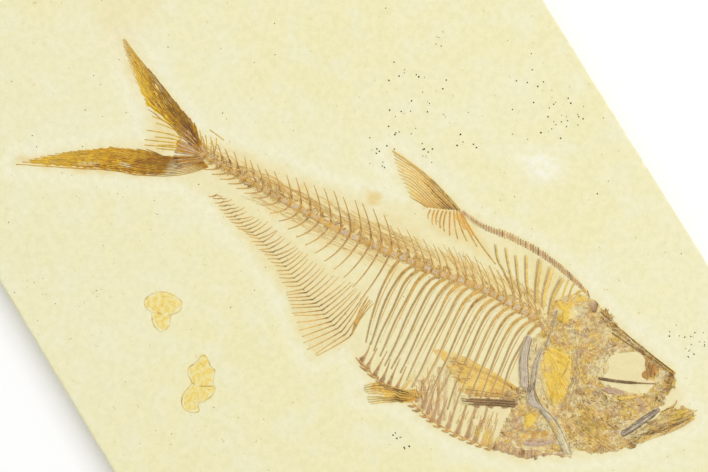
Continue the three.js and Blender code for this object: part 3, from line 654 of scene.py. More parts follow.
arches = strands(
    bowed(arch_feet, (arch_feet + arch_tops) / 2, arch_tops, 8), np.linspace(1.5, 0.6, 8), 0.5, 25,
    core=0.3, dark=arch_dark[:, None], cover=1.1, rough=0.4)
hung = JOINTS[JOINTS <= 24.1]
rearness = np.clip((24 - hung) / 60, 0, 1)
lower_drop = 20 - 15.5 * rearness + 4.5 * np.exp(-12 * rearness)
lower_lean = np.interp(rearness, [0, 0.5, 1], [3.5, 6.2, 6.5])
lower = bowed(*leaning_spines(hung, lower_lean, -lower_drop, 0.30), 18)
along = np.linspace(0, 1, 18)
lower_spines = strands(
    lower, 1.05 - 0.5 * along, 0.42 * (1 - 0.6 * along), 23,
    core=0.6 - 0.3 * along, dark=0.5 - 0.34 * along, cover=1.1 - 0.4 * along**2)
root_fan_tips = curve([(-84.5, 19.5), (-86, 15.6), (-86, 11), (-85, 6), (-82, 1.5)], 11)
root_fan_starts = curve([(-72, 14.2), (-73, 12.4), (-72, 10.4)], 11)
root_fan = strands(
    bowed(root_fan_starts, (root_fan_starts + root_fan_tips) / 2, root_fan_tips, 10),
    np.linspace(0.7, 1.2, 10), 0.45, 24, core=0.75, dark=0.35)


CHIP_HEIGHT = 0.25


def chips(centres, lengths, angles, seed, width=0.5, over=0.0, bow=0.16, **looks):
    """Splinters about their centres, each of its own length and at its own angle, bowed by its share."""
    reach = np.stack([np.cos(angles), np.sin(angles)], -1) * lengths[:, None] / 2
    bows = np.random.default_rng(seed).normal(0, bow, (len(angles), 1))
    aside = np.stack([-reach[:, 1], reach[:, 0]], -1) * bows
    lines = bowed(centres - reach, centres + aside, centres + reach, 6)
    return strands(lines, width, CHIP_HEIGHT, seed, spread=0.7, over=over, **looks)


# Bands of crumbs: their x from and to, how far from the axis they lie, from and to, and their number.
CRUMB_BANDS = [(-76, -30, -2, 2.8, 240), (-30, 34, -2.2, 3.4, 120), (34, 103, -2.4, 3.6, 260)]
x = np.concatenate([draw.uniform(low, high, count) for low, high, _, _, count in CRUMB_BANDS])
beside = np.concatenate([draw.uniform(low, high, count) for _, _, low, high, count in CRUMB_BANDS])
CRUMBS = len(x)
crumbs = chips(
    np.stack([x, backbone_height(x) + beside], -1), draw.uniform(0.7, 2.2, CRUMBS),
    draw.uniform(0, math.pi, CRUMBS), 26, width=draw.uniform(0.3, 0.8, (CRUMBS, 1)), over=0.35,
    core=draw.uniform(0, 1, (CRUMBS, 1)),
    dark=draw.uniform(-0.3, 0.6, (CRUMBS, 1)) - 0.2 * (x > 34)[:, None],
    cover=draw.uniform(0.4, 1.1, (CRUMBS, 1)))
make_piece("vertebral_column", "brown_bone", column_bone,
           [upper_spines, lower_spines, arches, vertebrae, root_fan, crumbs], "vertebral_column")

# ---- The ribs: eighteen curved rods, each with its partner of the other side pressed beside it ----
# Petrified bone, tan along the middle and amber at its thin edges. Each hooks back under its vertebra,
# then hangs nearly straight, and thins out over the belly.
amber_bone = finish_bone("amber_bone", linear(224, 180, 92), linear(188, 162, 114), linear(140, 100, 46))
RIB_FOOT = [-34, -34, -36, -37, -40, -40, -40, -42, -44, -44, -44, -44, -46, -45, -46, -45, -42, -34]
RIB_DRIFT = [4, 2, 0.6, 0, 0, -0.6, -0.4, -0.4, -0.8, -0.4, 0.4, 0.4, 2.2, 1, 2, 3, 3, 2.2]
RIB_START, RIB_PITCH = 27.4, 4.04
BEND_LEVEL = -12  # the y at which every rib has left its hook
ONE_SIDED = np.array([0, 0.55, 1, 1, 0.7, 0.1, 0])


def rib_line(number, aside=0.0):
    """The centre line of rib `number`, counted from the tail end, moved `aside` mm towards the head.

    A smooth line from its vertebra back to x, straight down past BEND_LEVEL, and adrift to its foot.
    """
    x = RIB_START + RIB_PITCH * number + aside
    hook = 1.6 if number == 0 else 4.4
    foot, drift = RIB_FOOT[number], RIB_DRIFT[number]
    head = backbone_height(x + hook) - 1.4
    return curve([(x + hook, head), (x + 0.42 * hook, head - 3.9), (x + 0.1 * hook, head - 9.3),
                  (x, BEND_LEVEL), (x + 0.3 * drift, (foot + BEND_LEVEL) / 2), (x + drift, foot)], 30)


along = np.linspace(0, 1, 30)
draw = np.random.default_rng(30)
for number in range(len(RIB_FOOT)):
    wander = 0.25 * np.sin(along * draw.uniform(7, 11) + draw.uniform(0, 6))[:, None] * (1, 0)
    near = strands(
        [rib_line(number) + wander], 1.25 - 0.25 * along + 0.4 * np.exp(-(((along - 0.1) / 0.12) ** 2)),
        0.5 - 0.2 * along, 300 + number,
        core=draw.uniform(0.15, 0.55) + 0.6 * soft_step(along, 0.12, 0.36),
        dark=draw.uniform(-0.15, 0.2) + 0.3 * np.exp(-(((along - 0.14) / 0.12) ** 2)),
        cover=1.1 - 0.45 * along**4, heart=ONE_SIDED, spread=0.6)
    far = strands(
        [rib_line(number, draw.uniform(1.0, 1.6))[2:27]], 0.6, 0.15, 330 + number, core=0.1, dark=-0.2,
        cover=draw.uniform(0.6, 0.95) * np.sin(math.pi * np.linspace(0.12, 1, 25)))
    make_piece(f"rib_{number + 1:02d}", "amber_bone", amber_bone, [far, near], f"rib_{number + 1:02d}")

# ---- The muscle bones: hair-fine splints that lay free in the flesh on both sides of the backbone ----
# Petrified bone, amber and barely raised. Behind the trunk they lie nearly along the backbone, and over
# the trunk they slant like the spines.


def splints(starts, lengths, slopes, seed, **looks):
    """Straight hairs from their starts, each of its own length, sloping back at its own angle."""
    t = np.linspace(0, 1, 6)[None, :, None]
    reach = np.stack([-np.cos(slopes), np.sin(slopes)], -1) * lengths[:, None]
    lines = starts[:, None] + reach[:, None] * t
    lines[..., 1] += 0.05 * lengths[:, None] * np.sin(math.pi * t[..., 0])
    return strands(lines, 0.4 - 0.12 * t[..., 0], 0.14, seed, spread=0.6, **looks)


def hairs(count, x_range, y_range, lengths, slope, seed, cover):
    """Splints from random places in a band beside the backbone: y_range is measured from its axis."""
    draw = np.random.default_rng(seed)
    x = draw.uniform(*x_range, count)
    starts = np.stack([x, backbone_height(x) + draw.uniform(*y_range, count)], -1)
    return splints(starts, draw.uniform(*lengths, count), draw.normal(*slope, count), seed,
                   core=draw.uniform(0, 0.8, (count, 1)), dark=draw.uniform(-0.3, 0.4, (count, 1)),
                   cover=cover * draw.uniform(0.5, 1.1, (count, 1)))


muscle_hairs = [
    hairs(110, (-44, 44), (2.4, 6.2), (8, 15), (0.09, 0.04), 41, 0.85),
    hairs(36, (-10, 44), (6, 9), (7, 13), (0.12, 0.05), 42, 0.6),
    hairs(84, (-36, 30), (-7.4, -1.8), (8, 15), (-0.02, 0.06), 43, 0.55),
    hairs(74, (44, 100), (2.2, 7.5), (6, 10), (0.62, 0.14), 44, 0.7),
    hairs(18, (36, 100), (-4.5, -2), (3, 6), (-0.8, 0.2), 45, 0.5),
    hairs(40, (-74, -40), (1.6, 4.8), (4, 9), (0.2, 0.2), 46, 0.8),
]
make_piece("muscle_bones", "amber_bone", amber_bone, muscle_hairs)

# ---- The free bars of the back: seven flat splints between the backbone and the back scutes ----
# Petrified bone, mauve along one edge and bright yellow along the other. They stood loose in the flesh,
# one above each of the first vertebrae, and fan out towards the dorsal fin.
bar_bone = finish_bone("bar_bone", linear(238, 206, 106), linear(198, 168, 126), linear(158, 114, 60))
BARS = [
    [(66, 32), (70, 26.2), (75, 22.4), (79.5, 18.6)],
    [(71, 32.6), (75, 26.6), (79.5, 21), (83.5, 15.5)],
    [(76.6, 31.4), (80, 25.6), (83, 20.5), (87, 15.5)],
    [(81, 33.6), (84, 27), (87, 21.4), (90, 17.5)],
    [(87.6, 34.6), (89.6, 28), (91.8, 21.4), (94.3, 16)],
    [(93.8, 33.4), (94.7, 28), (95.8, 21.6), (98, 15.5)],
    [(100.6, 31.2), (100.2, 25), (100.4, 20.5), (102, 13.5)],
]
BAR_WIDTHS = [1.3, 1.4, 1.6, 1.9, 2.6, 2.8, 2.7]
along = np.linspace(0, 1, 18)
for number, (points, width) in enumerate(zip(BARS, BAR_WIDTHS)):
    bar = strands([curve(points, 18)], width * (1.1 - 0.3 * along), 0.45, 400 + number, core=0.95,
                  dark=0.16 + 0.2 * along, cover=1.05 - 0.5 * np.exp(-along * 7),
                  heart=np.array([0, 0, 0, 0.35, 1, 0.9, 0]), rough=0.3, spread=0.4)
    make_piece(f"back_bar_{number + 1}", "amber_bone", bar_bone, [bar], f"supraneural_{number + 1}")
nape_bars = strands(
    bowed([(106.6, 31.2), (103.6, 31.6), (111, 29.6)], [(106.6, 26.6), (103.8, 27), (109.4, 25.4)],
          [(108.4, 21), (104.6, 21.6), (108.6, 21)], 12), 1.0, 0.35, 408, core=0.3, dark=0.2, cover=0.95)
make_piece("nape_bars", "amber_bone", bar_bone, [nape_bars])

# ---- The back scutes: a comb of small plates along the ridge of the back ----
# Petrified bone, mauve-brown, each plate overlapping the next like a roof tile, from the dorsal fin to
# the head. They stand steeply by the fin and lie flatter by the head.
SCUTES = 54
ridge_line = curve(
    [(46, 39.3), (52, 38), (57, 37.3), (63, 37.5), (70, 38.3), (78, 38), (85, 37.6), (92, 36.4),
     (100, 34.5), (107, 32.4), (114.5, 29.6)], SCUTES)
step = np.linspace(0, 1, SCUTES)
tall = (0.4 + 1.25 * soft_step(step, 0, 0.35)) * np.random.default_rng(50).uniform(0.8, 1.15, SCUTES)
slant = 0.42 + 0.3 * soft_step(step, 0.55, 0.95)
reach = np.stack([-np.sin(slant), np.cos(slant)], -1) * tall[:, None]
plates = bowed(ridge_line - reach, ridge_line + 0.1 * reach, ridge_line + reach, 6)
back_plates = strands(
    plates, 0.75, 0.5, 51, core=draw.uniform(0.4, 1, (SCUTES, 1)),
    dark=draw.uniform(-0.4, 0.5, (SCUTES, 1)), cover=1.1, spread=1.1)
ridge_band = strands([curve(ridge_line[::6], 60)], 2.6, 0.14, 52, core=0.7, dark=-0.3, cover=0.7)
scute_bone = finish_bone("scute_bone", linear(230, 196, 124), linear(196, 164, 132), linear(134, 98, 62))
make_piece("back_scutes", "brown_bone", scute_bone, [ridge_band, back_plates], "dorsal_scutes")

# ---- The unpaired fins: dorsal, anal and tail ----
# Each is a fan of jointed rays in a skin that only shows as a yellow film. Below it, a row of splints
# in the flesh carries the rays. Petrified bone, dark brown at the roots and golden at the tips.
dark_fin = finish_bone(
    "dark_fin", linear(242, 200, 44), linear(197, 141, 26), linear(128, 86, 44), streaks=1.05)


def zone(x, y, outline, fade, ragged=0.6, seed=1):
    """A mark that is 1 inside an outline and fades over `fade` mm across its ragged edge."""
    edge = inside(x, y, np.array(outline, float)) + ragged * waves(x, y, 3, seed)
    return soft_step(edge, -fade / 2, fade / 2)


FILM_SUNK = 0.35  # mm that a film's edge lies below the stone's face
FILM_RISE = 0.38  # mm that it rises from there, besides its own height
FILM_DEPTH = 0.2  # mm from its edge down to its underside


def at_places(mark, x, y):
    """A mark at each place: one number all over, or what a function of x and y gives there."""
    return np.broadcast_to(mark(x, y) if callable(mark) else mark, x.shape)


def film(outline, height, seed, step=0.7, bevel=1.2, ragged=0.5, relief=0.0, core=0.5, dark=0.0,
         cover=1.0, hole=None, rounded=True, rim=0.0):
    """A thin closed sheet inside an outline, in mm.

    It is a square grid, kept where it lies within 0.9 mm of the outline. Its lift goes from FILM_SUNK
    down in the stone at the outline to `height` a bevel inside it, and the relief adds to that. The same
    grid FILM_DEPTH below closes it. Relief, core, dark and cover are numbers or functions of x and y, and
    `rim` darkens it along its edge. The hole's inside counts as outside.
    """
    outline = curve(outline, 8 * len(outline), closed=True) if rounded else np.array(outline, float)
    low, high = outline.min(0) - 1.5, outline.max(0) + 1.5
    x, y = np.meshgrid(np.arange(low[0], high[0], step), np.arange(low[1], high[1], step), indexing="ij")
    depth = inside(x, y, outline) + ragged * waves(x, y, 4, seed)
    if hole:
        depth = np.minimum(depth, -inside(x, y, curve(hole, 8 * len(hole), closed=True)))
    rise = soft_step(depth, -0.7, bevel)
    lift = -FILM_SUNK + rise * (FILM_RISE + height + at_places(relief, x, y))
    number = np.arange(x.size).reshape(x.shape)
    quads = np.stack([number[:-1, :-1], number[1:, :-1], number[1:, 1:], number[:-1, 1:]], -1)
    quads = quads.reshape(-1, 4)
    quads = quads[depth.ravel()[quads].max(1) > -0.9]
    used, quads = np.unique(quads, return_inverse=True)
    quads = quads.reshape(-1, 4)
    count = len(used)
    edges = np.stack([quads, np.roll(quads, -1, axis=1)], -1).reshape(-1, 2)
    border = edges[~np.isin(edges[:, 0] * count + edges[:, 1], edges[:, 1] * count + edges[:, 0])]
    wall = np.stack([border[:, 1], border[:, 0], border[:, 0] + count, border[:, 1] + count], -1)
    x, y, lift, depth = (values.ravel()[used] for values in (x, y, lift, depth))
    flat = np.stack([x, y], -1)
    top = {
        "cover": at_places(cover, x, y) * soft_step(depth, -0.5, 1.0),
        "core": at_places(core, x, y),
        "dark": at_places(dark, x, y) + rim * np.exp(-((depth - 0.3) / 0.5) ** 2),
    }
    under = np.minimum(lift, -FILM_SUNK) - FILM_DEPTH
    return {
        "place": np.concatenate([on_slab(x, y, lift), on_slab(x, y, under)]),
        "flat": np.concatenate([flat, flat]), "grain": np.concatenate([flat, flat]),
        "quads": np.concatenate([quads, quads[:, ::-1] + count, wall]), "tris": np.zeros((0, 3), int),
        **{key: np.concatenate([values, np.zeros(count)]) for key, values in top.items()},
    }


def patchy(seed, low, high, size=6.0):
    """A mark that varies from low to high in soft patches of about `size` mm."""
    return lambda x, y: low + (high - low) * soft_step(waves(x, y, size, seed, 20), -1.2, 1.2)


def between(top, middle, bottom, count, samples):
    """Rays spread between three guide lines: at each sample they lie on the parabola through the three."""
    guides = [curve(points, samples) for points in (top, middle, bottom)]
    return bowed(*guides, count).swapaxes(0, 1)


def scattered(outline, count, lengths, angle, seed, over, dark=(0.0, 0.8), core=(0.0, 1.0),
              width=(0.35, 0.8), cover=(0.6, 1.15), turn=0.35, hole=None, bow=0.16):
    """Splinters at random places inside an outline, each within about `turn` of an angle in radians.

    The angle is a number, or a function of x and y. None lies in the hole.
    """
    draw = np.random.default_rng(seed)
    outline = np.array(outline, float)
    places = draw.uniform(outline.min(0), outline.max(0), (count * 6, 2))
    kept = inside(places[:, 0], places[:, 1], outline) > 0.6
    if hole:
        kept &= inside(places[:, 0], places[:, 1], np.array(hole, float)) < -0.6
    places = places[kept][:count]
    found = len(places)
    heading = angle(places[:, 0], places[:, 1]) if callable(angle) else angle
    return chips(places, draw.uniform(*lengths, found), heading + draw.normal(0, turn, found), seed,
                 width=draw.uniform(*width, (found, 1)), over=over, bow=bow,
                 core=draw.uniform(*core, (found, 1)), dark=draw.uniform(*dark, (found, 1)),
                 cover=draw.uniform(*cover, (found, 1)))


DORSAL_TOP = [(44.4, 39.4), (38, 42.3), (31, 45.1), (22, 48), (12, 50), (5.2, 51)]
DORSAL_MIDDLE = [(38.1, 37.1), (31, 39), (24.9, 41.3), (18.3, 43.2), (11.6, 43.4)]
DORSAL_BOTTOM = [(30.6, 34.4), (27, 34.8), (24, 35), (21, 35.8)]
DORSAL_DARK = [
    (23.6, 46.4), (27.6, 46.8), (33.9, 44.4), (39.5, 42), (45, 39.4), (40, 36.8), (34, 38.4),
    (29.5, 40.9), (25, 43.3)]
DORSAL_RAYS = 12
draw = np.random.default_rng(60)
along = np.linspace(0, 1, 30)
dorsal_rays = between(DORSAL_TOP, DORSAL_MIDDLE, DORSAL_BOTTOM, DORSAL_RAYS, 30)
dorsal_rays += 0.12 * (waves(dorsal_rays[..., 0], dorsal_rays[..., 1], 9, 60) * along)[..., None]
x, y = dorsal_rays[..., 0], dorsal_rays[..., 1]
dorsal = strands(
    dorsal_rays, 0.8 - 0.2 * along, 0.42 - 0.2 * along, 61, core=0.9 - 0.3 * along,
    dark=0.6 * zone(x, y, DORSAL_DARK, 2.6) * draw.uniform(0.3, 1, (DORSAL_RAYS, 1))
    + 0.3 * np.exp(-along * 14) + draw.uniform(0.0, 0.4, (DORSAL_RAYS, 1)) * (1 - 0.6 * along),
    cover=1.15 - 0.65 * along**4, spread=0.9)
dorsal_bone = finish_bone(
    "dorsal_bone", linear(240, 202, 108), linear(210, 164, 88), linear(128, 94, 56), streaks=1.0)
leading_ray = strands(
    [curve(DORSAL_TOP, 30)], 1.3 - 0.3 * along, 0.5, 59, core=0.5, cover=1.2,
    dark=0.15 + 0.5 * zone(*curve(DORSAL_TOP, 30).T, DORSAL_DARK, 3), spread=0)
dorsal_film = film(
    [(45, 39.2), (36, 43), (27.6, 46.4), (18, 48.4), (8, 50.4), (9.4, 46), (12.4, 42.6), (17, 39), (21, 36),
     (25, 34.4), (30, 33.4), (38, 36.2)], 0.08, 62, core=0.05,
    dark=lambda x, y: 0.3 * zone(x, y, DORSAL_DARK, 3), rounded=False,
    cover=lambda x, y: 0.42 + 0.4 * zone(x, y, DORSAL_DARK, 5) + 0.15 * soft_step(-y, -41, -35))
make_piece("dorsal_fin", "dark_fin", dorsal_bone, [dorsal_film, dorsal, leading_ray], "dorsal_fin")

along = np.linspace(0, 1, 14)
orange_bone = finish_bone("orange_bone", linear(236, 190, 98), linear(214, 160, 82), linear(150, 104, 56))
dorsal_carriers = bowed(
    [(32.2, 33.8), (34, 34.5), (35.7, 35.1), (37.6, 35.8), (39.2, 36.3), (40.8, 36.9), (42.4, 37.8),
     (43.4, 38.6), (44.6, 39), (46, 38.6)],
    [(32.3, 31.2), (34.6, 30.9), (36.2, 31.5), (38.2, 31.6), (40.2, 31.4), (43, 31.6), (45.5, 32.2),
     (48.2, 32.7), (50.8, 33.5), (57, 31)],
    [(33.1, 30), (36, 28.2), (37.6, 29), (39.9, 28.3), (42.2, 27.7), (45.3, 26.9), (49.2, 27.1),
     (53.6, 28), (58.9, 27.6), (70, 24)], 14)
carriers = strands(
    dorsal_carriers, 1.0 - 0.45 * along, 0.4, 63, core=0.8 - 0.4 * along,
    dark=(0.3 + np.linspace(0, 0.25, len(dorsal_carriers))[:, None]) * along, cover=1.1 - 0.4 * along**2)
carrier_web = film(
    [(44.4, 37.8), (48.4, 37.2), (54.6, 33), (57.6, 30.4), (53, 31), (47.6, 33.8), (43, 36.2)], 0.2, 68,
    core=0.2, cover=0.8)
make_piece("dorsal_fin_supports", "amber_bone", orange_bone, [carrier_web, carriers], "dorsal_fin_supports")

ANAL_BASE = [(23.2, -35), (21.1, -34.6), (17.8, -33.6), (14.1, -32.5), (9.2, -30.2), (4.6, -27.8),
             (-2.4, -25.1), (-5.7, -23.6), (-10.2, -21.4), (-14.2, -19.2), (-19.9, -16.4), (-27.6, -13),
             (-34.4, -11), (-47, -7), (-60, -1.9)]
ANAL_TIPS = [(13.6, -49.6), (12.1, -49.3), (6.3, -47.5), (2.5, -43.6), (-3.2, -37.4), (-7, -34),
             (-10.6, -30), (-11.8, -28), (-16.4, -24.5), (-18.8, -21.6), (-25, -18.5), (-32.5, -15.4),
             (-39.5, -12.4), (-51, -9), (-63, -3.4)]
ANAL_HEADS = [(24, -15.5), (23.1, -14.8), (21.6, -14.4), (19.6, -14), (16.4, -13.4), (12.4, -12),
              (2.8, -12.2), (-0.6, -11.6), (-6, -10.6), (-10, -9.6), (-15, -8.4), (-23, -6),
              (-30, -4.4), (-43, -2.4), (-57, -0.8)]
ANAL_RAYS = 42
knots = np.array([ANAL_BASE, ANAL_TIPS, ANAL_HEADS], float)
length = np.concatenate([[0], np.cumsum(np.hypot(*np.diff(knots[0], axis=0).T))])
stops = np.linspace(0, length[-1], ANAL_RAYS)
roots, tips, heads = (
    np.stack([np.interp(stops, length, line[:, 0]), np.interp(stops, length, line[:, 1])], -1)
    for line in knots)
tips += draw.normal(0, 0.3, tips.shape)
heads += draw.normal(0, 0.5, heads.shape)
rays = bowed(roots, (roots + tips) / 2 + (-0.2, -0.3) + draw.normal(0, 0.15, roots.shape), tips, 12)
along = np.linspace(0, 1, 12)
knee = np.exp(-along * 7)
anal_rays = strands(
    rays, 0.85 - 0.4 * along, 0.38 - 0.2 * along, 64, core=0.6 - 0.4 * along + 0.3 * knee,
    dark=0.4 * knee + 0.5 * draw.uniform(0, 1, (ANAL_RAYS, 1)) * (1 - along), cover=1.1 - 0.35 * along,
    spread=0.5)
anal_skin = film([*ANAL_BASE[::2], *ANAL_TIPS[::-2]], 0.05, 65, core=0.0, cover=0.26, rounded=False)
make_piece("anal_fin", "amber_bone", amber_bone, [anal_skin, anal_rays], "anal_fin")
feet = roots + (0.1, 0.4)
along = np.linspace(0, 1, 14)
anal_carriers = strands(
    bowed(heads, (heads + feet) / 2 + (0.4, -0.2), feet, 14), 0.45 + 0.3 * along, 0.15 + 0.22 * along, 66,
    core=0.3 + 0.4 * along, cover=0.55 + 0.45 * along,
    dark=(0.4 * along**6 + draw.uniform(0, 0.4, (ANAL_RAYS, 1))) * np.linspace(1, 0.5, ANAL_RAYS)[:, None],
    spread=0.5)
first_bundle = strands(
    bowed([(23.8, -33.4)] * 4, [(23.2, -24), (23.9, -24), (24.6, -24), (22.4, -23.4)],
          [(24.6, -15.6), (25.6, -15.6), (26.6, -16.4), (23.2, -14.4)], 14), 0.75 - 0.25 * along, 0.3, 67,
    core=0.5, dark=0.3, cover=1.1 - 0.4 * along)
make_piece("anal_fin_supports", "amber_bone", amber_bone, [anal_carriers, first_bundle],
           "anal_fin_supports")

along = np.linspace(0, 1, 40)
UPPER_DARK = [(-113, 38.4), (-106, 35), (-98, 31), (-90, 27.6), (-83, 24.6), (-77, 18), (-79, 14.6),
              (-86, 16), (-91, 18.4), (-98, 22), (-105, 26.6), (-112, 33)]
UPPER_RAYS = 15
upper_lobe_rays = between(
    [(-73.6, 13.6), (-78, 18.4), (-84, 23.6), (-90, 26.2), (-98, 30), (-106, 34.2), (-114, 37.8),
     (-121, 41.4), (-128.4, 45.4)],
    [(-74, 13), (-79.6, 16.8), (-86, 20.6), (-94, 24), (-103, 28), (-113, 32.6), (-125, 39.4)],
    [(-74.4, 12.4), (-80, 14), (-86, 16), (-93, 18.4), (-100, 19.6), (-105, 20.8)], UPPER_RAYS, 40)
upper_lobe_rays += 0.16 * waves(upper_lobe_rays[..., 0], upper_lobe_rays[..., 1], 8, 70)[..., None]
x, y = upper_lobe_rays[..., 0], upper_lobe_rays[..., 1]
tail_upper = strands(
    upper_lobe_rays, 0.58 - 0.12 * along, 0.5 - 0.25 * along, 71, core=1.0,
    dark=0.7 * zone(x, y, UPPER_DARK, 3, 0.9, 72) * draw.uniform(0.35, 1, (UPPER_RAYS, 1))
    + draw.uniform(0.0, 0.55, (UPPER_RAYS, 1)) * (1 - 0.6 * soft_step(-x, 104, 118)),
    cover=1.2 - 0.7 * along**5, spread=1.0)
edge_tops = np.array(
    [(-83, 23.8), (-86, 25.2), (-90, 26.8), (-95, 29.2), (-100, 31.2), (-106, 34.2), (-113, 37.6)])
edge_roots = np.array([(-76, 15), (-76.6, 15.4), (-78, 16.4), (-81, 19), (-85, 22.6), (-91, 26), (-99, 30)])
edge_rays = strands(
    bowed(edge_roots, (edge_roots + edge_tops) / 2 + (0, 0.5), edge_tops, 12), 0.6, 0.35, 73, core=0.4,
    dark=0.7, cover=1.0)
fork_rays = strands(
    bowed([(-85.5, 17.6), (-85.5, 16.6), (-85.4, 15.2), (-85, 14), (-84.6, 13), (-84, 12.2),
           (-83.4, 11.2), (-83, 10)],
          [(-93, 18.9), (-92, 17.3), (-93, 14.2), (-91, 12.6), (-92, 10.4), (-89, 10), (-92, 8),
           (-88.6, 8)],
          [(-102, 18.6), (-99, 16.6), (-101.4, 11.8), (-96.8, 10.6), (-100.6, 7.4), (-94, 7.8),
           (-99.6, 5.2), (-94, 6)], 14), 0.75 - 0.02 * np.arange(14), 0.3, 74, core=0.3, dark=0.35,
    cover=np.linspace(1.15, 0.7, 14))
root_lines = bowed(
    [(-84, 24), (-81.6, 23), (-79.4, 22), (-75.4, 24.2), (-76, 21), (-73.6, 21.4), (-71, 22)],
    [(-80.6, 19.4), (-78.6, 18.4), (-76.6, 17.8), (-72, 23.6), (-73.8, 17.6), (-71.6, 18), (-69.6, 18.6)],
    [(-77.4, 15), (-76, 14.6), (-74.6, 14.4), (-67.4, 22.6), (-72.4, 14), (-70.2, 14), (-68.4, 14)], 10)
top_spines = strands(root_lines, 0.55, 0.25, 75, core=0.3, dark=0.35, cover=0.9)
tail_upper_film = film(
    [(-77, 15.4), (-80, 19.4), (-85, 24), (-92, 27), (-100, 30.6), (-113, 36.6), (-126, 43.4), (-121, 35.4),
     (-115, 29.6), (-107, 22), (-98, 19.8), (-92, 18), (-84, 15)], 0.12, 76, core=patchy(83, 0, 0.5, 4),
    dark=lambda x, y: 0.5 * zone(x, y, UPPER_DARK, 4), rounded=False,
    cover=lambda x, y: 0.55 + 0.45 * soft_step(x, -122, -106) - 0.3 * soft_step(x, -84, -78))
root_plate = film(
    [(-74, 12.4), (-79, 13.8), (-86, 14.8), (-87, 11.4), (-84.6, 8.6), (-79, 9.6), (-73.6, 11)], 0.3,
    84, core=1.0, dark=patchy(85, 0, 0.2, 3), cover=0.95)
UPPER_LOBE = [(-97, 28.4), (-104, 32), (-113, 36), (-124, 42), (-120, 36), (-112, 29.4), (-104, 22.6),
              (-94, 19.4), (-96, 23)]
upper_flecks = scattered(
    UPPER_LOBE, 60, (1.2, 4.5), -0.52, 103, 0.42, dark=(-0.6, 0.7), core=(0, 1), width=(0.3, 0.7),
    turn=0.08, bow=0.04)
make_piece("tail_fin_upper", "dark_fin", dark_fin,
           [tail_upper_film, root_plate, fork_rays, top_spines, edge_rays, tail_upper, upper_flecks],
           "tail_fin_upper")

LOWER_DARK = [(-101, -0.4), (-97, 2.4), (-91, 4.2), (-84, 6), (-80, 5), (-81, -2.6), (-88, -5.6),
              (-98, -9.4), (-101.6, -7)]
LOWER_STREAK = [
    (-127, -17.6), (-118, -12.8), (-110, -8.8), (-101, -5.6), (-100, -10.4), (-108, -12), (-118, -16.2)]
LOWER_RAYS = 18
lower_lobe_rays = between(
    [(-74, 11.6), (-80, 8.4), (-88, 4.8), (-93, 4.2), (-98, 3.8)],
    [(-71.6, 9.8), (-79, 6), (-87, 1.6), (-97, -1.6), (-112, -4.6), (-128, -11.2)],
    [(-68.6, 8.4), (-74, 3.4), (-80, -1), (-86, -4.2), (-96, -8.4), (-110, -12.4), (-125, -18.6),
     (-137, -23.2), (-149.4, -28)], LOWER_RAYS, 48)
lower_lobe_rays += 0.16 * waves(lower_lobe_rays[..., 0], lower_lobe_rays[..., 1], 8, 77)[..., None]
x, y = lower_lobe_rays[..., 0], lower_lobe_rays[..., 1]
along = np.linspace(0, 1, 48)
flecks = soft_step(waves(x, 2 * y, 3, 81), -0.6, 0.5)
dark = 0.7 * zone(x, y, LOWER_DARK, 3, 0.9, 79) * draw.uniform(0.2, 1, (LOWER_RAYS, 1))
dark = np.clip(dark + 0.8 * zone(x, y, LOWER_STREAK, 2, 0.9, 80) * flecks, 0, 1)
dark += draw.uniform(0.0, 0.5, (LOWER_RAYS, 1)) * (1 - 0.6 * soft_step(-x, 104, 122))
tail_lower = strands(
    lower_lobe_rays, 0.36 + 0.22 * soft_step(-x, 80, 92) - 0.1 * soft_step(-x, 110, 145),
    0.5 - 0.25 * along, 78, core=1.0, dark=dark, cover=1.2 - 0.5 * along**5, spread=1.0)
tail_lower_film = film(
    [(-83, 6.6), (-90, 5), (-98, 3.4), (-112, -1), (-128, -11), (-140, -19.6), (-148, -26.6), (-135, -22.4),
     (-115, -14.2), (-97, -8.6), (-88, -5), (-83, -3), (-82, 2)], 0.12, 82, core=patchy(86, 0.4, 1.0, 5),
    dark=lambda x, y: 0.3 * zone(x, y, LOWER_DARK, 3) + 0.15 * zone(x, y, LOWER_STREAK, 2),
    cover=lambda x, y: 0.95 * soft_step(-x, 82, 89), rounded=False)
LOWER_LOBE = [(-97, 2.4), (-112, -2.2), (-128, -12), (-139, -20), (-134, -21), (-116, -13.6), (-101, -8.6),
              (-103, -3)]
lower_flecks = scattered(
    LOWER_LOBE, 80, (1.2, 5), 0.42, 104, 0.42, dark=(-0.6, 0.5), core=(0, 1), width=(0.3, 0.7),
    turn=0.08, bow=0.04)
make_piece("tail_fin_lower", "dark_fin", dark_fin, [tail_lower_film, tail_lower, lower_flecks],
           "tail_fin_lower")

# ---- The belly keel: a saw of scutes, each with a thorn below and an arm that rises beside the ribs ----
# Petrified bone, mauve-brown. The arms are tall flat triangles, and the thorns point to the tail.
REAR_ARMS = [((32.8, -42.2), (33, -33)), ((36.8, -44.4), (37.1, -33.9)), ((41.2, -46), (41.7, -33.5)),
             ((45.4, -47.2), (44.6, -36)), ((49, -47.8), (48.6, -34.2)), ((53, -48), (52.8, -36))]
FRONT_ARMS = [((63.6, -48.6), (62.2, -38)), ((67.4, -50), (65.4, -37)), ((70.8, -51.4), (68.6, -37)),
              ((74, -53), (71.6, -38)), ((77, -53.4), (76, -41)), ((82, -53.6), (81, -40)),
              ((87, -54), (85, -41)), ((92, -54), (89.5, -40)), ((96, -54), (95, -38)),
              ((100, -53.4), (98, -38)), ((103, -53), (102, -46))]
REAR_THORNS = [
    ((36.2, -44), (30, -42.2)), ((38.6, -45), (33.2, -45)), ((43.2, -46.2), (37.8, -46.6)),
    ((47.4, -47.8), (42.6, -47.8)), ((51.4, -48.4), (46.6, -48.8))]
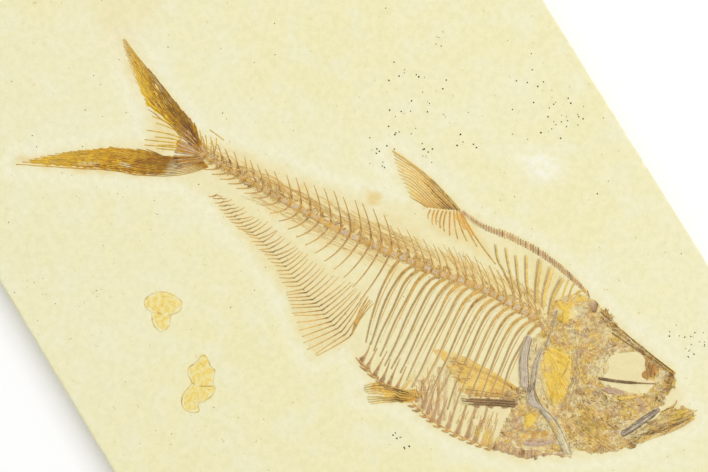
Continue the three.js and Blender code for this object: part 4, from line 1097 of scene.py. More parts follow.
FRONT_THORNS = [
    ((64.2, -50.4), (60.9, -52.1)), ((67, -51.4), (63.6, -53.1)), ((71.2, -52.4), (67.9, -53.9)),
    ((75, -53), (71.6, -54.7)), ((79, -54), (75.4, -55.5)), ((83.4, -54.2), (79.9, -55.8)),
    ((87.6, -54.6), (84, -56)), ((91.8, -54.4), (88.4, -56)), ((96, -54.2), (92.6, -56)),
    ((100, -54), (96.8, -55.6)), ((104.4, -53.4), (101, -55))]
REAR_KEEL = [(32.6, -42.8), (37, -44.8), (42, -46.6), (47, -47.8), (54, -48.4)]
FRONT_KEEL = [(61, -49.6), (68, -52), (74, -53.6), (82, -54.4), (90, -54.6), (97, -54.2), (103.4, -53.4)]


def keel_parts(arms, thorns, keel, seed, dark, flare):
    """Arms as strands that flare at the foot, thorns as short ones below them, and the keel's own ridge."""
    feet, heads = (np.array(ends, float) for ends in zip(*arms))
    t = np.linspace(0, 1, 20)
    bend = np.random.default_rng(seed).normal(0, 0.4, (len(arms), 1)) * (1, 0)
    risen = strands(bowed(feet, (feet + heads) / 2 + bend, heads, 20), 0.7 + 2.5 * (1 - t) ** flare,
                    0.5 * (1 - 0.6 * t), seed, core=1.0 - 0.3 * t,
                    dark=dark * (1 - 0.6 * t) + 0.2 * np.exp(-t * 8), cover=1.1 - 0.5 * t**3,
                    spread=0.6)
    starts, tips = (np.array(ends, float) for ends in zip(*thorns))
    t = np.linspace(0, 1, 10)
    thorn = strands(bowed(starts, (starts + tips) / 2 + (0.2, -0.5), tips, 10),
                    np.interp(t, [0, 0.4, 1], [1.1, 1.7, 0.4]), 0.6, seed + 1, core=0.4, dark=0.4,
                    cover=1.15, heart=np.array([0.2, 1, 1, 0.5, 0, 0, 0]), spread=0.6, over=0.1)
    ridge = strands([curve(keel, 30)], 0.8, 0.35, seed + 2, core=0.4, dark=0.3, cover=0.95)
    return [risen, ridge, thorn]


CRUSH_STRETCH = 2.2  # how much longer than wide the lumps of crushed bone are
PITCH = 0.42  # mm between the points of a crushed bone's surface


def each(*values):
    """One value for each strand, the same all along it."""
    return np.array(values)[:, None]


def crushed(seed, size=2.6, height=0.3, angle=0.0):
    """The relief of crushed bone: creases between lumps drawn out along an angle, at two sizes."""
    cos, sin = math.cos(angle), math.sin(angle)

    def relief(x, y):
        u = (x * cos + y * sin) / CRUSH_STRETCH + 0.7 * waves(x, y, size * 2, seed + 2)
        v = y * cos - x * sin + 0.7 * waves(x, y, size * 2, seed + 3)
        lumps = 1 - np.abs(waves(u, v, size, seed, 20))
        crumbs = 1 - np.abs(waves(u, v, size * 0.45, seed + 1, 20))
        return height * (0.6 * lumps + 0.5 * crumbs - 0.4)
    return relief


def crushed_film(outline, height, seed, crush, core, dark, step=PITCH, **looks):
    """A film of crushed bone: crush, core and dark are what crushed and patchy take besides a seed."""
    return film(outline, height, seed, step, relief=crushed(seed + 1, *crush),
                core=patchy(seed + 2, *core), dark=patchy(seed + 3, *dark), **looks)


yellow_splint = strands(
    [curve([(55.6, -46.4), (56.7, -42), (58.2, -36.8)], 16)], 2.3, 0.12, 96, core=0.1, dark=-0.4,
    cover=np.linspace(0.75, 0.4, 16), spread=0)
make_piece("belly_scutes_rear", "brown_bone", brown_bone,
           [yellow_splint] + keel_parts(REAR_ARMS, REAR_THORNS, REAR_KEEL, 90, 0.42, 3.2),
           "belly_scutes_rear")
belly_splints = [
    film([(55, -49.6), (62, -51.6), (75, -54), (76, -42), (70, -34), (60, -37)], 0.06, 87,
         core=patchy(88, 0, 1, 3), dark=patchy(89, 0, 0.2, 3), cover=patchy(90, 0.15, 0.6, 4)),
    strands(bowed([(61.6, -40), (64.2, -41), (67.2, -38.4), (66.8, -30), (68.7, -24.6), (70.4, -30),
                   (75, -29), (95.8, -45.6), (98.6, -46), (101.4, -46.4)],
                  [(63.6, -45), (66.6, -46), (69.4, -43.6), (71, -40), (73, -36), (74.4, -40.6),
                   (78.2, -37), (95.8, -49), (99.6, -49.4), (102.4, -49.4)],
                  [(66, -49.2), (69.2, -50.4), (71.2, -49), (75.6, -50.2), (77, -47), (79, -51),
                   (81.2, -45), (95.4, -52.2), (100.9, -52.8), (103.6, -52)], 16),
            each(1.9, 2.4, 2.1, 2.3, 1.9, 2.3, 1.7, 1.7, 2.1, 1.8), 0.16, 121, core=0.8, rough=0.3,
            dark=each(0.0, 0.1, 0.0, 0.05, 0.1, 0.0, 0.0, -0.2, -0.2, -0.2),
            cover=each(0.45, 0.62, 0.5, 0.6, 0.5, 0.55, 0.45, 0.7, 0.85, 0.6)),
    scattered([(56, -46), (62, -49), (74, -51), (74, -38), (65, -32), (58, -38)], 30, (3, 8), 2.0, 91, 0.1,
              dark=(0, 0.6), width=(0.3, 0.6), cover=(0.5, 1), turn=0.08, bow=0.04),
    scattered([(78, -51), (103, -51), (103, -39), (82, -41)], 40, (3, 8), 1.75, 92, 0.05, dark=(0, 0.35),
              width=(0.35, 0.7), cover=(0.3, 0.85), turn=0.1, bow=0.04),
]
make_piece("belly_scutes_front", "brown_bone", brown_bone,
           belly_splints + keel_parts(FRONT_ARMS, FRONT_THORNS, FRONT_KEEL, 94, 0.0, 2.2),
           "belly_scutes_front")

THROAT_SCUTES = 12
THROAT = [(105, -49.6), (111, -48), (117, -47.8), (123, -45.6), (130, -43.6), (138, -41.2),
          (139, -42.4), (130, -45), (126.6, -47.6), (122, -50.8), (116, -52.4), (110, -53),
          (105, -53.8)]
throat = crushed_film(
    THROAT, 0.4, 98, (1.8, 0.4, 1.5), (0.3, 0.9, 3), (-0.1, 0.35, 3), step=0.45, bevel=1.0, rim=0.2)
throat_rows = strands(
    bowed(curve([(104.6, -50), (111, -48.6), (117, -48.4), (123, -46)], THROAT_SCUTES),
          curve([(104.8, -51.6), (111, -50.6), (117, -50.2), (123.6, -47.8)], THROAT_SCUTES),
          curve([(105, -53.4), (111, -52.6), (117.4, -51.8), (124.6, -49)], THROAT_SCUTES), 6),
    0.9, 0.35, 102, core=0.8, dark=draw.uniform(-0.3, 0.6, (THROAT_SCUTES, 1)), over=0.35)
make_piece("throat_scutes", "brown_bone", scute_bone, [throat, throat_rows], "throat_scutes")

# ---- The paired fins: the two pectorals and the pelvics ----
# Bundles of rays folded back along the belly. Petrified bone: the far pectoral is a bright yellow sheet
# with fine pleats, and the near pectoral and the pelvics are darker, folded bundles.
yellow_bone = finish_bone(
    "yellow_bone", linear(244, 218, 112), linear(236, 192, 74), linear(178, 130, 62), gloss=0.45,
    mottle=330, shards=0.22, cracked=0.12)
FAR_RAYS = 17
NEAR_RAYS = 6
RAY_SAMPLES = 26
along = np.linspace(0, 1, RAY_SAMPLES)
far_rays = between(
    [(105, -23.4), (97, -22.8), (91, -21.6), (84, -21.4), (75, -20.9), (67.8, -22.4)],
    [(105, -26), (96, -26), (88, -26.6), (80, -27.4), (71.6, -28)],
    [(105, -28.6), (97, -31), (90, -33.6), (85, -36), (80.6, -37.6)], FAR_RAYS, RAY_SAMPLES)
far_rays += 0.25 * waves(far_rays[..., 0], far_rays[..., 1], 7, 110)[..., None]
FAR_ROOT = [(79, -38.4), (81, -32.6), (89.4, -31.4), (97, -28.4), (101, -27), (102, -30.2), (91, -35),
            (81, -40)]
FAR_STAIN = [(68, -22), (78, -22), (80, -31), (72, -31)]
x, y = far_rays[..., 0], far_rays[..., 1]
far_dark = draw.uniform(0.1, 0.5, (FAR_RAYS, 1)) * (1.1 - 0.6 * along) + 0.6 * zone(x, y, FAR_ROOT, 3)
far_dark += 0.6 * zone(x, y, FAR_STAIN, 3)
far_fin = strands(
    far_rays, 0.5, 0.2, 110, core=0.8, dark=far_dark, cover=1.1 - 0.8 * along**3, over=0.06, spread=0.7)
far_film = film(
    [(105.6, -22.8), (94, -21), (80, -20.6), (70, -20.6), (56.6, -23.6), (62, -26), (70, -28.4),
     (76, -33.4), (80, -38), (90, -34.6), (104, -29.4)], 0.08, 111, core=patchy(112, 0.2, 0.9),
    dark=lambda x, y: 0.55 * zone(x, y, FAR_ROOT, 4),
    cover=lambda x, y: 0.2 + 0.3 * soft_step(x, 60, 84) + 0.4 * soft_step(-y - 0.35 * x, -10, -2),
    rounded=False)
far_bars = scattered(
    [(68, -21.6), (77, -21.6), (81, -29), (79, -35), (71, -29)], 44, (2.4, 5), 0.2, 128, 0.14,
    dark=(0.0, 0.7), core=(0.4, 1), width=(0.4, 0.75), turn=0.12, bow=0.05)
make_piece("pectoral_fin_far", "yellow_bone", yellow_bone, [far_film, far_fin, far_bars],
           "pectoral_fin_far")

near_rays = between(
    [(104.6, -29.4), (96, -32.6), (89, -35.6), (82, -38.4)],
    [(105, -30.6), (96.6, -33.8), (89.6, -36.8), (82.4, -39.4)],
    [(105, -32.2), (97, -35.2), (90, -38.2), (83.6, -40.6)], NEAR_RAYS, RAY_SAMPLES)
worn = soft_step(each(0.86, 1.04, 0.92, 1.0, 0.8, 0.9) - along, -0.03, 0.05)
near_fin = strands(
    near_rays, 0.7 - 0.15 * along, 0.35, 114, core=0.9,
    dark=each(0.3, 0.75, 0.0, 0.8, 0.5, 0.85) * (1.1 - 0.5 * along), cover=1.15 * worn, over=0.45)
near_film = film(
    [(106, -28.6), (98, -31.2), (90, -34.4), (82, -38), (82.6, -41), (91, -38.6), (98, -35.8),
     (106, -32.8)], 0.4, 115, ragged=0.9, core=0.9, dark=patchy(117, 0.0, 0.3, 4),
    cover=lambda x, y: 0.35 + 0.5 * soft_step(x, 83, 90))
pectoral_root = scattered(
    [(99, -24), (107, -22), (108, -28), (106, -33), (99, -32)], 70, (0.8, 3), -0.4, 116, 0.3, turn=0.7)
near_bone = finish_bone("near_bone", linear(222, 190, 130), linear(176, 142, 100), linear(112, 86, 52))
make_piece("pectoral_fin_near", "dark_fin", near_bone, [near_film, near_fin, pectoral_root],
           "pectoral_fin_near")

pelvic_rays = np.concatenate([
    between([(64, -46), (56, -46.6), (48, -47.4), (42.5, -49.4), (39, -52.4)],
            [(64, -47), (56, -48.2), (49, -49.4), (44, -51.2), (40, -54)],
            [(63, -48.2), (57, -49.8), (51, -51.4), (46, -53), (42, -54.8)], 5, RAY_SAMPLES),
    between([(62, -48.6), (56, -50.6), (50, -53), (46, -54.8), (42.4, -56.4)],
            [(62, -49), (56, -51.4), (50, -54), (46.6, -56), (43.4, -58)],
            [(62, -49.4), (57, -52), (52, -54.4), (48, -56.8), (45.6, -58.2)], 4, RAY_SAMPLES),
])
pelvic_rays += 0.3 * waves(pelvic_rays[..., 0], pelvic_rays[..., 1], 6, 118)[..., None]
x = pelvic_rays[..., 0]
pelvic = strands(
    pelvic_rays, 0.62 - 0.1 * along, 0.4, 118, core=0.9 - 0.4 * along,
    dark=0.6 * np.exp(-(((x - 55.4) / 3.4) ** 2)) + draw.uniform(-0.3, 0.45, (len(pelvic_rays), 1)),
    cover=1.2 - 0.6 * along**3, over=0.2, spread=0.9)
pelvic_film = film(
    [(66, -44.4), (58, -45.8), (50, -47.4), (43, -49), (41, -53), (48, -52.4), (52, -53.6), (58, -51.4),
     (64, -48.6)], 0.25, 119, core=patchy(120, 0.1, 0.8),
    dark=lambda x, y: 0.3 * np.exp(-(((x - 56) / 3) ** 2)), cover=0.75)
pelvic_root = scattered(
    [(58, -45.6), (61, -43), (65.6, -43.4), (66, -47), (61, -49)], 46, (0.7, 2.6), 0.6, 122, 0.2,
    turn=1.0)
pelvic_bone = finish_bone(
    "pelvic_bone", linear(242, 206, 104), linear(224, 174, 80), linear(116, 84, 38), streaks=0.9)
make_piece("pelvic_fin", "dark_fin", pelvic_bone, [pelvic_film, pelvic, pelvic_root], "pelvic_fin")

# ---- The skull and the shoulder: thin bones crushed flat over one another ----
# Petrified bone, mottled amber, brown and mauve, with yellow plates of the gill cover and temple and
# grey bars of the shoulder. Each bone keeps its own outline and lies on the bones of the far side,
# which show as a crackled bed of chips between them.
grey_bone = finish_bone(
    "grey_bone", linear(232, 220, 188), linear(204, 188, 162), linear(112, 92, 68), gloss=0.42,
    streaks=1.05)
skull_bone = finish_bone(
    "skull_bone", linear(243, 215, 128), linear(228, 202, 150), linear(138, 98, 42), mottle=420,
    shards=0.75, cracked=0.5)
ORBIT = [(137, 9.4), (141, 11.4), (146, 14.4), (150, 13.2), (152, 9.6), (152.8, 6), (155.6, 4.6),
         (159, 5.4), (157.8, 0.8), (154.6, -1.6), (149, -3.2), (142, -4), (137.4, -3.4), (138.2, 2),
         (136.4, 6)]
HEAD_BED = [(102, 20), (107.4, 27), (113, 28.6), (121, 27.4), (126, 24.4), (132, 22.4), (140, 19.6),
            (150, 17), (158, 14.8), (165, 13), (168, 9), (167, 3), (167.6, -2), (165.4, -7), (163, -12),
            (158.6, -20), (160.6, -25), (157, -30), (150, -33.6), (141, -37), (138, -41), (130, -44),
            (122, -47), (113, -49), (104.6, -51), (104, -43), (104.6, -34), (106.4, -26), (100, -14),
            (98, -2), (101, 4), (101, 12)]


def head_heading(x, y):
    """The way the bone's grain runs at a place in the head: round the eye, and down and back below it."""
    return np.arctan2(y - 6, x - 146) + math.pi / 2


head_bed = crushed_film(
    HEAD_BED, 0.15, 130, (1.5, 0.16, -0.6), (0.0, 0.8, 5), (-0.1, 0.12, 4), step=0.5,
    cover=patchy(134, 0.5, 1.15, 7), hole=ORBIT)
head_crumbs = scattered(
    HEAD_BED, 420, (0.6, 2.2), head_heading, 135, 0.12, dark=(-0.4, 0.9), width=(0.25, 0.6), turn=1.0,
    hole=ORBIT)
head_splinters = scattered(
    HEAD_BED, 110, (2, 6), head_heading, 136, 0.14, dark=(-0.2, 0.8), width=(0.3, 0.5), hole=ORBIT)
make_piece("far_side_bones", "brown_bone", skull_bone, [head_bed, head_crumbs, head_splinters])

BRAINCASE = [(102.6, 15), (108, 16.6), (113.6, 16), (114.6, 20.4), (119, 22.6), (125, 21), (133, 18),
             (141, 16.4), (136.6, 13.6), (133.6, 10.6), (132.4, 6), (134, 1), (131, -3.6), (126, -3.6),
             (122.4, 1), (116, 2.6), (109, 3), (103.4, 2.6), (101.4, 9)]
braincase = crushed_film(BRAINCASE, 0.4, 140, (1.6, 0.28, 0.3), (0.0, 0.9, 3), (-0.45, -0.02, 3), rim=0.15)
brain_crumbs = scattered(
    BRAINCASE, 170, (0.6, 2.2), -0.5, 144, 0.5, turn=1.2, width=(0.25, 0.6), dark=(-0.7, 0.6))
make_piece("braincase", "brown_bone", skull_bone, [braincase, brain_crumbs], "braincase")

SKULL_ROOF = [(122, 25), (126, 24.8), (132, 22.8), (140, 20), (150, 17.6), (158, 15.2), (165.6, 14),
              (165.4, 12), (157, 12.8), (148, 15.4), (138, 17.4), (128, 19.6), (122, 22)]
roof = crushed_film(SKULL_ROOF, 0.5, 145, (1.4, 0.25, -0.3), (0.0, 0.7, 4), (-0.05, 0.3, 3), rim=0.2)
roof_folds = strands(
    bowed([(123, 24.6), (123.6, 23.4), (124, 22.4), (132, 18)],
          [(142, 19.1), (142.8, 18.2), (143.6, 17.3), (145, 15.9)],
          [(165, 13.8), (165.2, 13.1), (165.4, 12.4), (156, 14.6)], 40), 0.7, 0.45, 149, core=0.1,
    dark=each(0.9, -0.1, 0.75, 0.85), cover=1.1, over=0.4, rough=0.4)
roof_chips = scattered(SKULL_ROOF, 110, (1, 4), -0.3, 150, 0.6, turn=0.3, width=(0.3, 0.6))
roof_spikes = scattered(
    [(121, 23), (124, 27), (129, 26), (131, 22)], 26, (1.4, 4), -0.9, 137, 0.3, turn=0.5,
    dark=(0.2, 0.8))
make_piece("skull_roof", "brown_bone", skull_bone, [roof, roof_folds, roof_chips, roof_spikes],
           "skull_roof")

crest = film([(114.8, 27.8), (117.6, 28.8), (120.4, 27.6), (121.8, 24.8), (120.8, 22.4), (117.8, 22.2),
              (116.4, 25)], 0.9, 151, step=PITCH, bevel=2.2, ragged=0.2,
             core=lambda x, y: soft_step(x, 116, 120),
             dark=lambda x, y: 0.1 + 0.45 * soft_step(x, 118, 121), rim=0.3)
make_piece("occipital_crest", "grey_bone", near_bone, [crest], "occipital_crest")

TEMPLE = [(102, 20.6), (107.6, 21.2), (112.6, 27.6), (114.4, 27), (111.4, 22.6), (114.8, 19), (112.4, 14.4),
          (109, 11.4), (107.4, 13), (107, 17), (103.6, 18.4)]
temple = crushed_film(TEMPLE, 0.45, 152, (3, 0.15), (0.0, 0.6), (0.0, 0.12, 6))
temple_bars = strands(
    bowed([(106.4, 30.6), (110.4, 29.6), (102.6, 20.8), (105.6, 21), (112, 22.6)],
          [(106.6, 26), (108.4, 26), (108, 21.8), (111, 24), (116, 23.8)],
          [(107.8, 21.6), (107.4, 22.4), (113, 24), (117.4, 28), (119.6, 22.6)], 12),
    0.7, 0.35, 156, core=0.5, dark=each(0.5, 0.4, 0.3, 0.35, 0.4), cover=1.0, over=0.2)
make_piece("temple_plate", "yellow_bone", yellow_bone, [temple, temple_bars], "temple_plate")

SNOUT = [(150.6, 14.4), (156, 13.6), (160.4, 11.6), (158, 8.6), (155.6, 5), (152.4, 6.6), (152.8, 10)]
wedge = film(SNOUT, 0.35, 157, step=PITCH, relief=crushed(158, 2.0, 0.3, -1), core=1.0,
             dark=patchy(159, -0.1, 0.4, 3), rim=0.2)
wedge_chips = scattered(SNOUT, 30, (1.5, 5), -1.3, 160, 0.45, width=(0.3, 0.5), turn=0.25)
make_piece("snout_wedge", "brown_bone", orange_bone, [wedge, wedge_chips], "snout_wedge")

UPPER_JAW = [(161, 12.2), (165.6, 12.6), (168, 10.6), (168.6, 7.6), (167.4, 3.6), (167, 0.6), (168, -1.6),
             (165.8, -3.8), (162.6, -2), (161.2, 1.6), (161.4, 5), (163.2, 7.6)]
upper_jaw = crushed_film(UPPER_JAW, 0.5, 161, (1.4, 0.3, 1.2), (0.1, 0.8, 2.6), (-0.05, 0.4, 2.4), rim=0.3)
jaw_chips = scattered(
    UPPER_JAW, 130, (0.6, 2.4), 1.1, 165, 0.5, turn=1.0, dark=(-0.1, 1.0), width=(0.25, 0.6))
make_piece("upper_jaw", "brown_bone", skull_bone, [upper_jaw, jaw_chips], "upper_jaw")

along = np.linspace(0, 1, 30)
bar = strands([curve([(135.2, -3.6), (141, -2), (147, 0), (152, 1.9), (160.4, 5.4)], 30)],
              np.interp(along, [0, 0.6, 0.68, 1], [1.7, 1.6, 0.8, 0.6]), 0.6, 166, core=0.9,
              dark=np.interp(along, [0, 0.6, 0.75, 1], [0.75, 0.85, 0.5, 0.3]), cover=1.2,
              heart=np.ones(7), spread=0)
make_piece("eye_bar", "grey_bone", near_bone, [bar], "eye_bar")

OPERCLE = [(108.6, -0.4), (114, 0.8), (120, -1), (124, -9), (124.6, -17), (121.6, -23.6), (114.6, -18.6),
           (108.4, -10)]
opercle = film(
    OPERCLE, 0.5, 170, step=PITCH, relief=crushed(171, 5, 0.16), core=patchy(172, 0.0, 0.6, 6),
    dark=lambda x, y: 0.2 * np.exp(-((x - 113) / 3) ** 2 - ((y + 9) / 3) ** 2),
    cover=lambda x, y: 0.6 + 0.5 * soft_step(x + 0.25 * y, 105, 110))
opercle_fibres = scattered(
    OPERCLE, 60, (2.5, 7), lambda x, y: np.arctan2(y + 1, x - 106.5), 127, 0.5, turn=0.12,
    dark=(-0.4, 0.4), width=(0.25, 0.45), bow=0.05)
opercle_scratch = strands(
    bowed([(119.5, -10), (110, -2.4), (110.6, -13), (122, -1)],
          [(119.8, -6.4), (115, -1), (113, -17), (123, -10)],
          [(119.4, -3), (120, -2.4), (118, -22), (122, -21)], 12),
    each(1.1, 0.5, 0.6, 0.6), 0.3, 173, core=0.9,
    dark=each(0.5, 0.2, 0.15, 0.1), over=0.4)
make_piece("opercle", "yellow_bone", yellow_bone, [opercle, opercle_fibres, opercle_scratch], "opercle")


def fan(roots, middles, tips, count, samples):
    """Rays between three lines: ray i starts, bends and ends at the same share of each line's length."""
    return bowed(curve(roots, count), curve(middles, count), curve(tips, count), samples)


preopercle_rays = fan(
    [(118.6, 3), (121.6, 2)], [(124, -9.4), (127.6, -9.4)], [(125.6, -23), (130, -23)], 4, 30)
preopercle_rays += 0.4 * waves(preopercle_rays[..., 0], preopercle_rays[..., 1], 6, 174)[..., None]
preopercle = strands(
    preopercle_rays, 1.1, 0.35, 174, core=0.6, dark=each(0.4, 0.0, 0.3, -0.1), cover=0.95, rough=0.3,
    over=0.3)
make_piece("preopercle", "grey_bone", skull_bone, [preopercle], "preopercle")

CHEEK = [(128, -4.4), (135, -5.6), (142, -5), (149, -5.4), (154, -3.2), (158, -0.8), (161.4, 0.4),
         (162.4, -4), (159, -10), (155.6, -15.4), (154, -21), (148, -24.4), (139, -25.4), (131, -24.6),
         (128.4, -14)]
cheek = crushed_film(CHEEK, 0.3, 175, (1.6, 0.25, 0.5), (0.0, 0.8, 4), (-0.15, 0.14, 3))
eye_rims = strands(
    [curve([(137.6, -6.4), (141, -7), (146, -6), (151, -4.6), (156, -2.6), (161, -0.6)], 30),
     curve([(136, -9.4), (142, -11), (149, -10), (156, -7.4), (161, -5.6)], 30),
     curve([(141, -9), (146, -8.6), (151, -6.6), (155, -5), (159, -3)], 30)],
    each(1.6, 0.8, 1.6), 0.35, 179, core=each(0.6, 0.2, 0.0),
    dark=each(0.2, 0.5, 0.0), cover=1.0, over=0.25, spread=0.1)
cheek_crumbs = scattered(
    CHEEK, 150, (0.7, 2.4), head_heading, 180, 0.4, turn=0.8, dark=(-0.4, 0.9), width=(0.25, 0.55))
cheek_splinters = scattered(CHEEK, 60, (3, 8), head_heading, 138, 0.4, dark=(-0.3, 0.7), width=(0.3, 0.5))
make_piece("cheek", "brown_bone", skull_bone, [cheek, eye_rims, cheek_crumbs, cheek_splinters], "cheek")
mauve_rim = film(
    [(137, -8), (139.6, -6), (143, -4.6), (147.6, -4.2), (149.6, -5.2), (145.4, -7.4), (141, -8.8)],
    0.6, 223, step=PITCH, ragged=0.15, core=1.0, dark=patchy(224, 0, 0.15, 3))
gold_rim = film(
    [(143.6, -8.6), (147, -6.6), (152, -4.2), (155.6, -1.6), (155.4, -4.4), (151, -7.6), (146, -9.4)],
    0.65, 225, step=PITCH, ragged=0.15, core=0.4, dark=patchy(226, -0.2, 0.1, 3), rim=0.35)
upper_rim = film(
    [(132.8, 9.7), (134.8, 12.4), (139.1, 14.4), (144, 15), (140, 11.4), (136, 8.4)], 0.5, 227,
    step=PITCH, ragged=0.3, core=patchy(228, 0, 0.6, 3), dark=patchy(229, -0.4, 0.1, 3),
    cover=patchy(230, 0.3, 0.9, 3))
make_piece("eye_rim_low", "grey_bone", near_bone, [mauve_rim])
make_piece("eye_rim_front", "yellow_bone", yellow_bone, [gold_rim])
make_piece("eye_rim_high", "brown_bone", near_bone, [upper_rim])

maxilla_film = film(
    [(154.6, -22), (157.4, -17), (161, -10), (164.6, -5), (166.8, -4.6), (166.4, -8), (162.6, -15),
     (157.4, -23)], 0.85, 181, step=PITCH, bevel=0.8, ragged=0.15, core=1.0,
    dark=patchy(183, 0.2, 0.5, 6), rim=0.6)
maxilla_ridges = strands(
    bowed([(156, -21.6), (157.2, -22)], [(160.6, -13.6), (162.2, -14.4)], [(165.6, -5.4), (166.4, -6)], 16),
    0.7, 0.3, 182, core=0.6, dark=0.8, cover=1.1, over=0.75)
make_piece("maxilla", "grey_bone", grey_bone, [maxilla_film, maxilla_ridges], "maxilla")

jaw_bone = finish_bone(
    "jaw_bone", linear(238, 202, 104), linear(196, 168, 126), linear(118, 84, 40), streaks=0.9,
    shards=0.35, cracked=0.3)
LOWER_JAW = [(160, -19.6), (163.6, -13.4), (166.8, -8), (168, -4), (170.4, -1.4), (173, -1), (175.4, 1),
             (178.4, 1.7), (181.4, 0.6), (183.2, -1.2), (181.6, -4), (178.6, -8.2), (174, -13),
             (168, -18.6), (162, -23.6)]
lower_jaw = film(
    LOWER_JAW, 0.45, 183, step=PITCH, relief=crushed(184, 1.8, 0.22, 0.8),
    core=patchy(185, 0.0, 0.6, 4),
    dark=lambda x, y: patchy(186, -0.1, 0.3, 3)(x, y) + 0.8 * soft_step(x - y, 179, 186), rim=0.3)
jaw_rim = strands(
    [curve([(163, -22.4), (170, -16), (177, -9.2), (182.4, -1.6)], 30)], np.linspace(3.2, 2.0, 30), 0.4,
    187, core=0.6, dark=0.3, cover=1.1, over=0.2)
jaw_streaks = scattered(
    LOWER_JAW, 90, (1.5, 7), 0.9, 188, 0.5, turn=0.2, dark=(-0.3, 0.9), width=(0.25, 0.55), bow=0.05)
teeth = strands(
    [curve([(171.4, -1.4), (172.2, 0.6), (172.2, 2.6)], 8)], np.linspace(1.3, 0.4, 8), 0.6, 189,
    core=1.0, dark=0.1)
hinge = crushed_film(
    [(152, -26.4), (156, -21.4), (161.4, -19.4), (164, -16.4), (168.4, -18), (164.8, -23.6),
     (160.4, -28), (156, -29.8), (152.6, -29.4)], 0.35, 231, (1.8, 0.2, 0.8), (0, 0.8, 3),
    (-0.2, 0.3, 2), cover=patchy(235, 0.5, 1, 4), rim=0.5)
hinge_chips = scattered(
    [(153, -29), (161, -20), (168, -18), (160, -28)], 40, (1, 4), 0.7, 236, 0.4, turn=0.3,
    dark=(-0.4, 0.9), width=(0.25, 0.5))
make_piece("lower_jaw", "brown_bone", jaw_bone,
           [hinge, hinge_chips, lower_jaw, jaw_rim, jaw_streaks, teeth], "lower_jaw")

GILL_FLOOR = [(121, -23.6), (128, -25), (136, -25.8), (146, -25.6), (156, -23.6), (161, -24),
              (158.6, -29), (153, -33.6), (147, -36), (140, -38), (134, -35.6), (128, -30.6)]
gill_film = crushed_film(GILL_FLOOR, 0.2, 190, (1.8, 0.16), (0.0, 0.6, 4), (-0.1, 0.12, 3))
gill_curves = fan(
    [(130, -30.4), (131.6, -28.6), (134, -26.6), (138, -25)],
    [(136.6, -34.4), (139.6, -32), (144.4, -29.4), (149, -27)],
    [(146, -36.4), (150.6, -34.4), (155, -31.2), (159, -27.4)], 9, 26)
gill_rays = strands(
    gill_curves, 0.7, 0.3, 194, core=0.2, dark=draw.uniform(0.05, 0.6, (len(gill_curves), 1)),
    cover=1.0, over=0.15, spread=0.8)
gill_crumbs = scattered(
    GILL_FLOOR, 90, (0.8, 3), 0.25, 139, 0.25, turn=0.5, dark=(-0.4, 0.8), width=(0.25, 0.5))
make_piece("gill_rays", "amber_bone", skull_bone, [gill_film, gill_rays, gill_crumbs], "gill_rays")

CORACOID = [(104.6, -33), (108.4, -28.8), (113, -29), (117.6, -30.4), (122, -31.6), (127.4, -35.4),
            (129, -38.6), (124, -42.6), (117.6, -46), (111, -46.4), (107.6, -42), (105.4, -38)]
coracoid = crushed_film(CORACOID, 0.3, 195, (2.2, 0.16), (0.0, 0.9, 5), (-0.25, 0.1, 4))
coracoid_chips = scattered(
    CORACOID, 45, (1, 4), 1.0, 199, 0.3, turn=0.7, width=(0.25, 0.5), dark=(-0.3, 0.6))
far_blade = film(
    [(114.8, -45.3), (117.9, -43), (123, -41.3), (127, -38), (129, -38.4), (127, -41.4), (123, -44.2),
     (118, -46)], 0.55, 123, step=PITCH, ragged=0.2, core=1.0, rim=0.1)
far_blade_rim = film(
    [(113, -41), (117.2, -38.4), (121.7, -35.8), (125.8, -35.2), (126.8, -37), (122.6, -40.6),
     (117.6, -42.6), (114.4, -44)], 0.6, 124, step=PITCH, relief=crushed(125, 2, 0.15), core=0.0,
    dark=patchy(126, 0, 0.35, 3), cover=patchy(130, 0.45, 1, 4))
make_piece("coracoid", "amber_bone", skull_bone, [coracoid, coracoid_chips], "coracoid")
make_piece("far_coracoid", "grey_bone", grey_bone, [far_blade])
make_piece("far_coracoid_rim", "amber_bone", orange_bone, [far_blade_rim])
yellow_oval = film(
    [(113, -31.6), (116.6, -31.6), (117.6, -35), (116.6, -37.8), (113.4, -37), (112, -34)], 0.7, 200,
    step=PITCH, core=0.0, dark=patchy(201, 0, 0.1, 4))
make_piece("gular_plate", "yellow_bone", yellow_bone, [yellow_oval])

along = np.linspace(0, 1, 40)
shoulder = strands(
    [curve([(104.6, 16.4), (106, 8.6), (106.8, 0)], 24)], 1.4, 0.9, 202, core=0.85, dark=0.35,
    cover=1.2)
make_piece("shoulder_bar", "grey_bone", grey_bone, [shoulder], "shoulder_bar")
rear_blade = film(
    [(96.4, 1), (97, -8), (99.6, -15), (103.6, -22.4), (108.8, -22.8), (106.6, -17), (103.4, -11.6),
     (101.4, -6), (100, 0.6)], 1.0, 203, step=PITCH, bevel=0.9, ragged=0.15, rounded=False,
    core=patchy(204, 0.6, 1.2, 4), rim=0.35)
rear_ridges = strands(
    between([(97.2, 0), (97.8, -8), (100.4, -15), (104.6, -22)],
            [(98.6, 0), (99.6, -8), (102, -14), (106.2, -21.6)],
            [(99.6, 0), (101, -7), (103.6, -13), (107.8, -21.4)], 5, 40), 0.45, 0.25, 205, core=0.7,
    dark=each(0.55, -0.1, 0.35, -0.1, 0.75), cover=1.2, over=0.95)
make_piece("cleithrum_rear", "grey_bone", grey_bone, [rear_blade, rear_ridges], "cleithrum_rear")
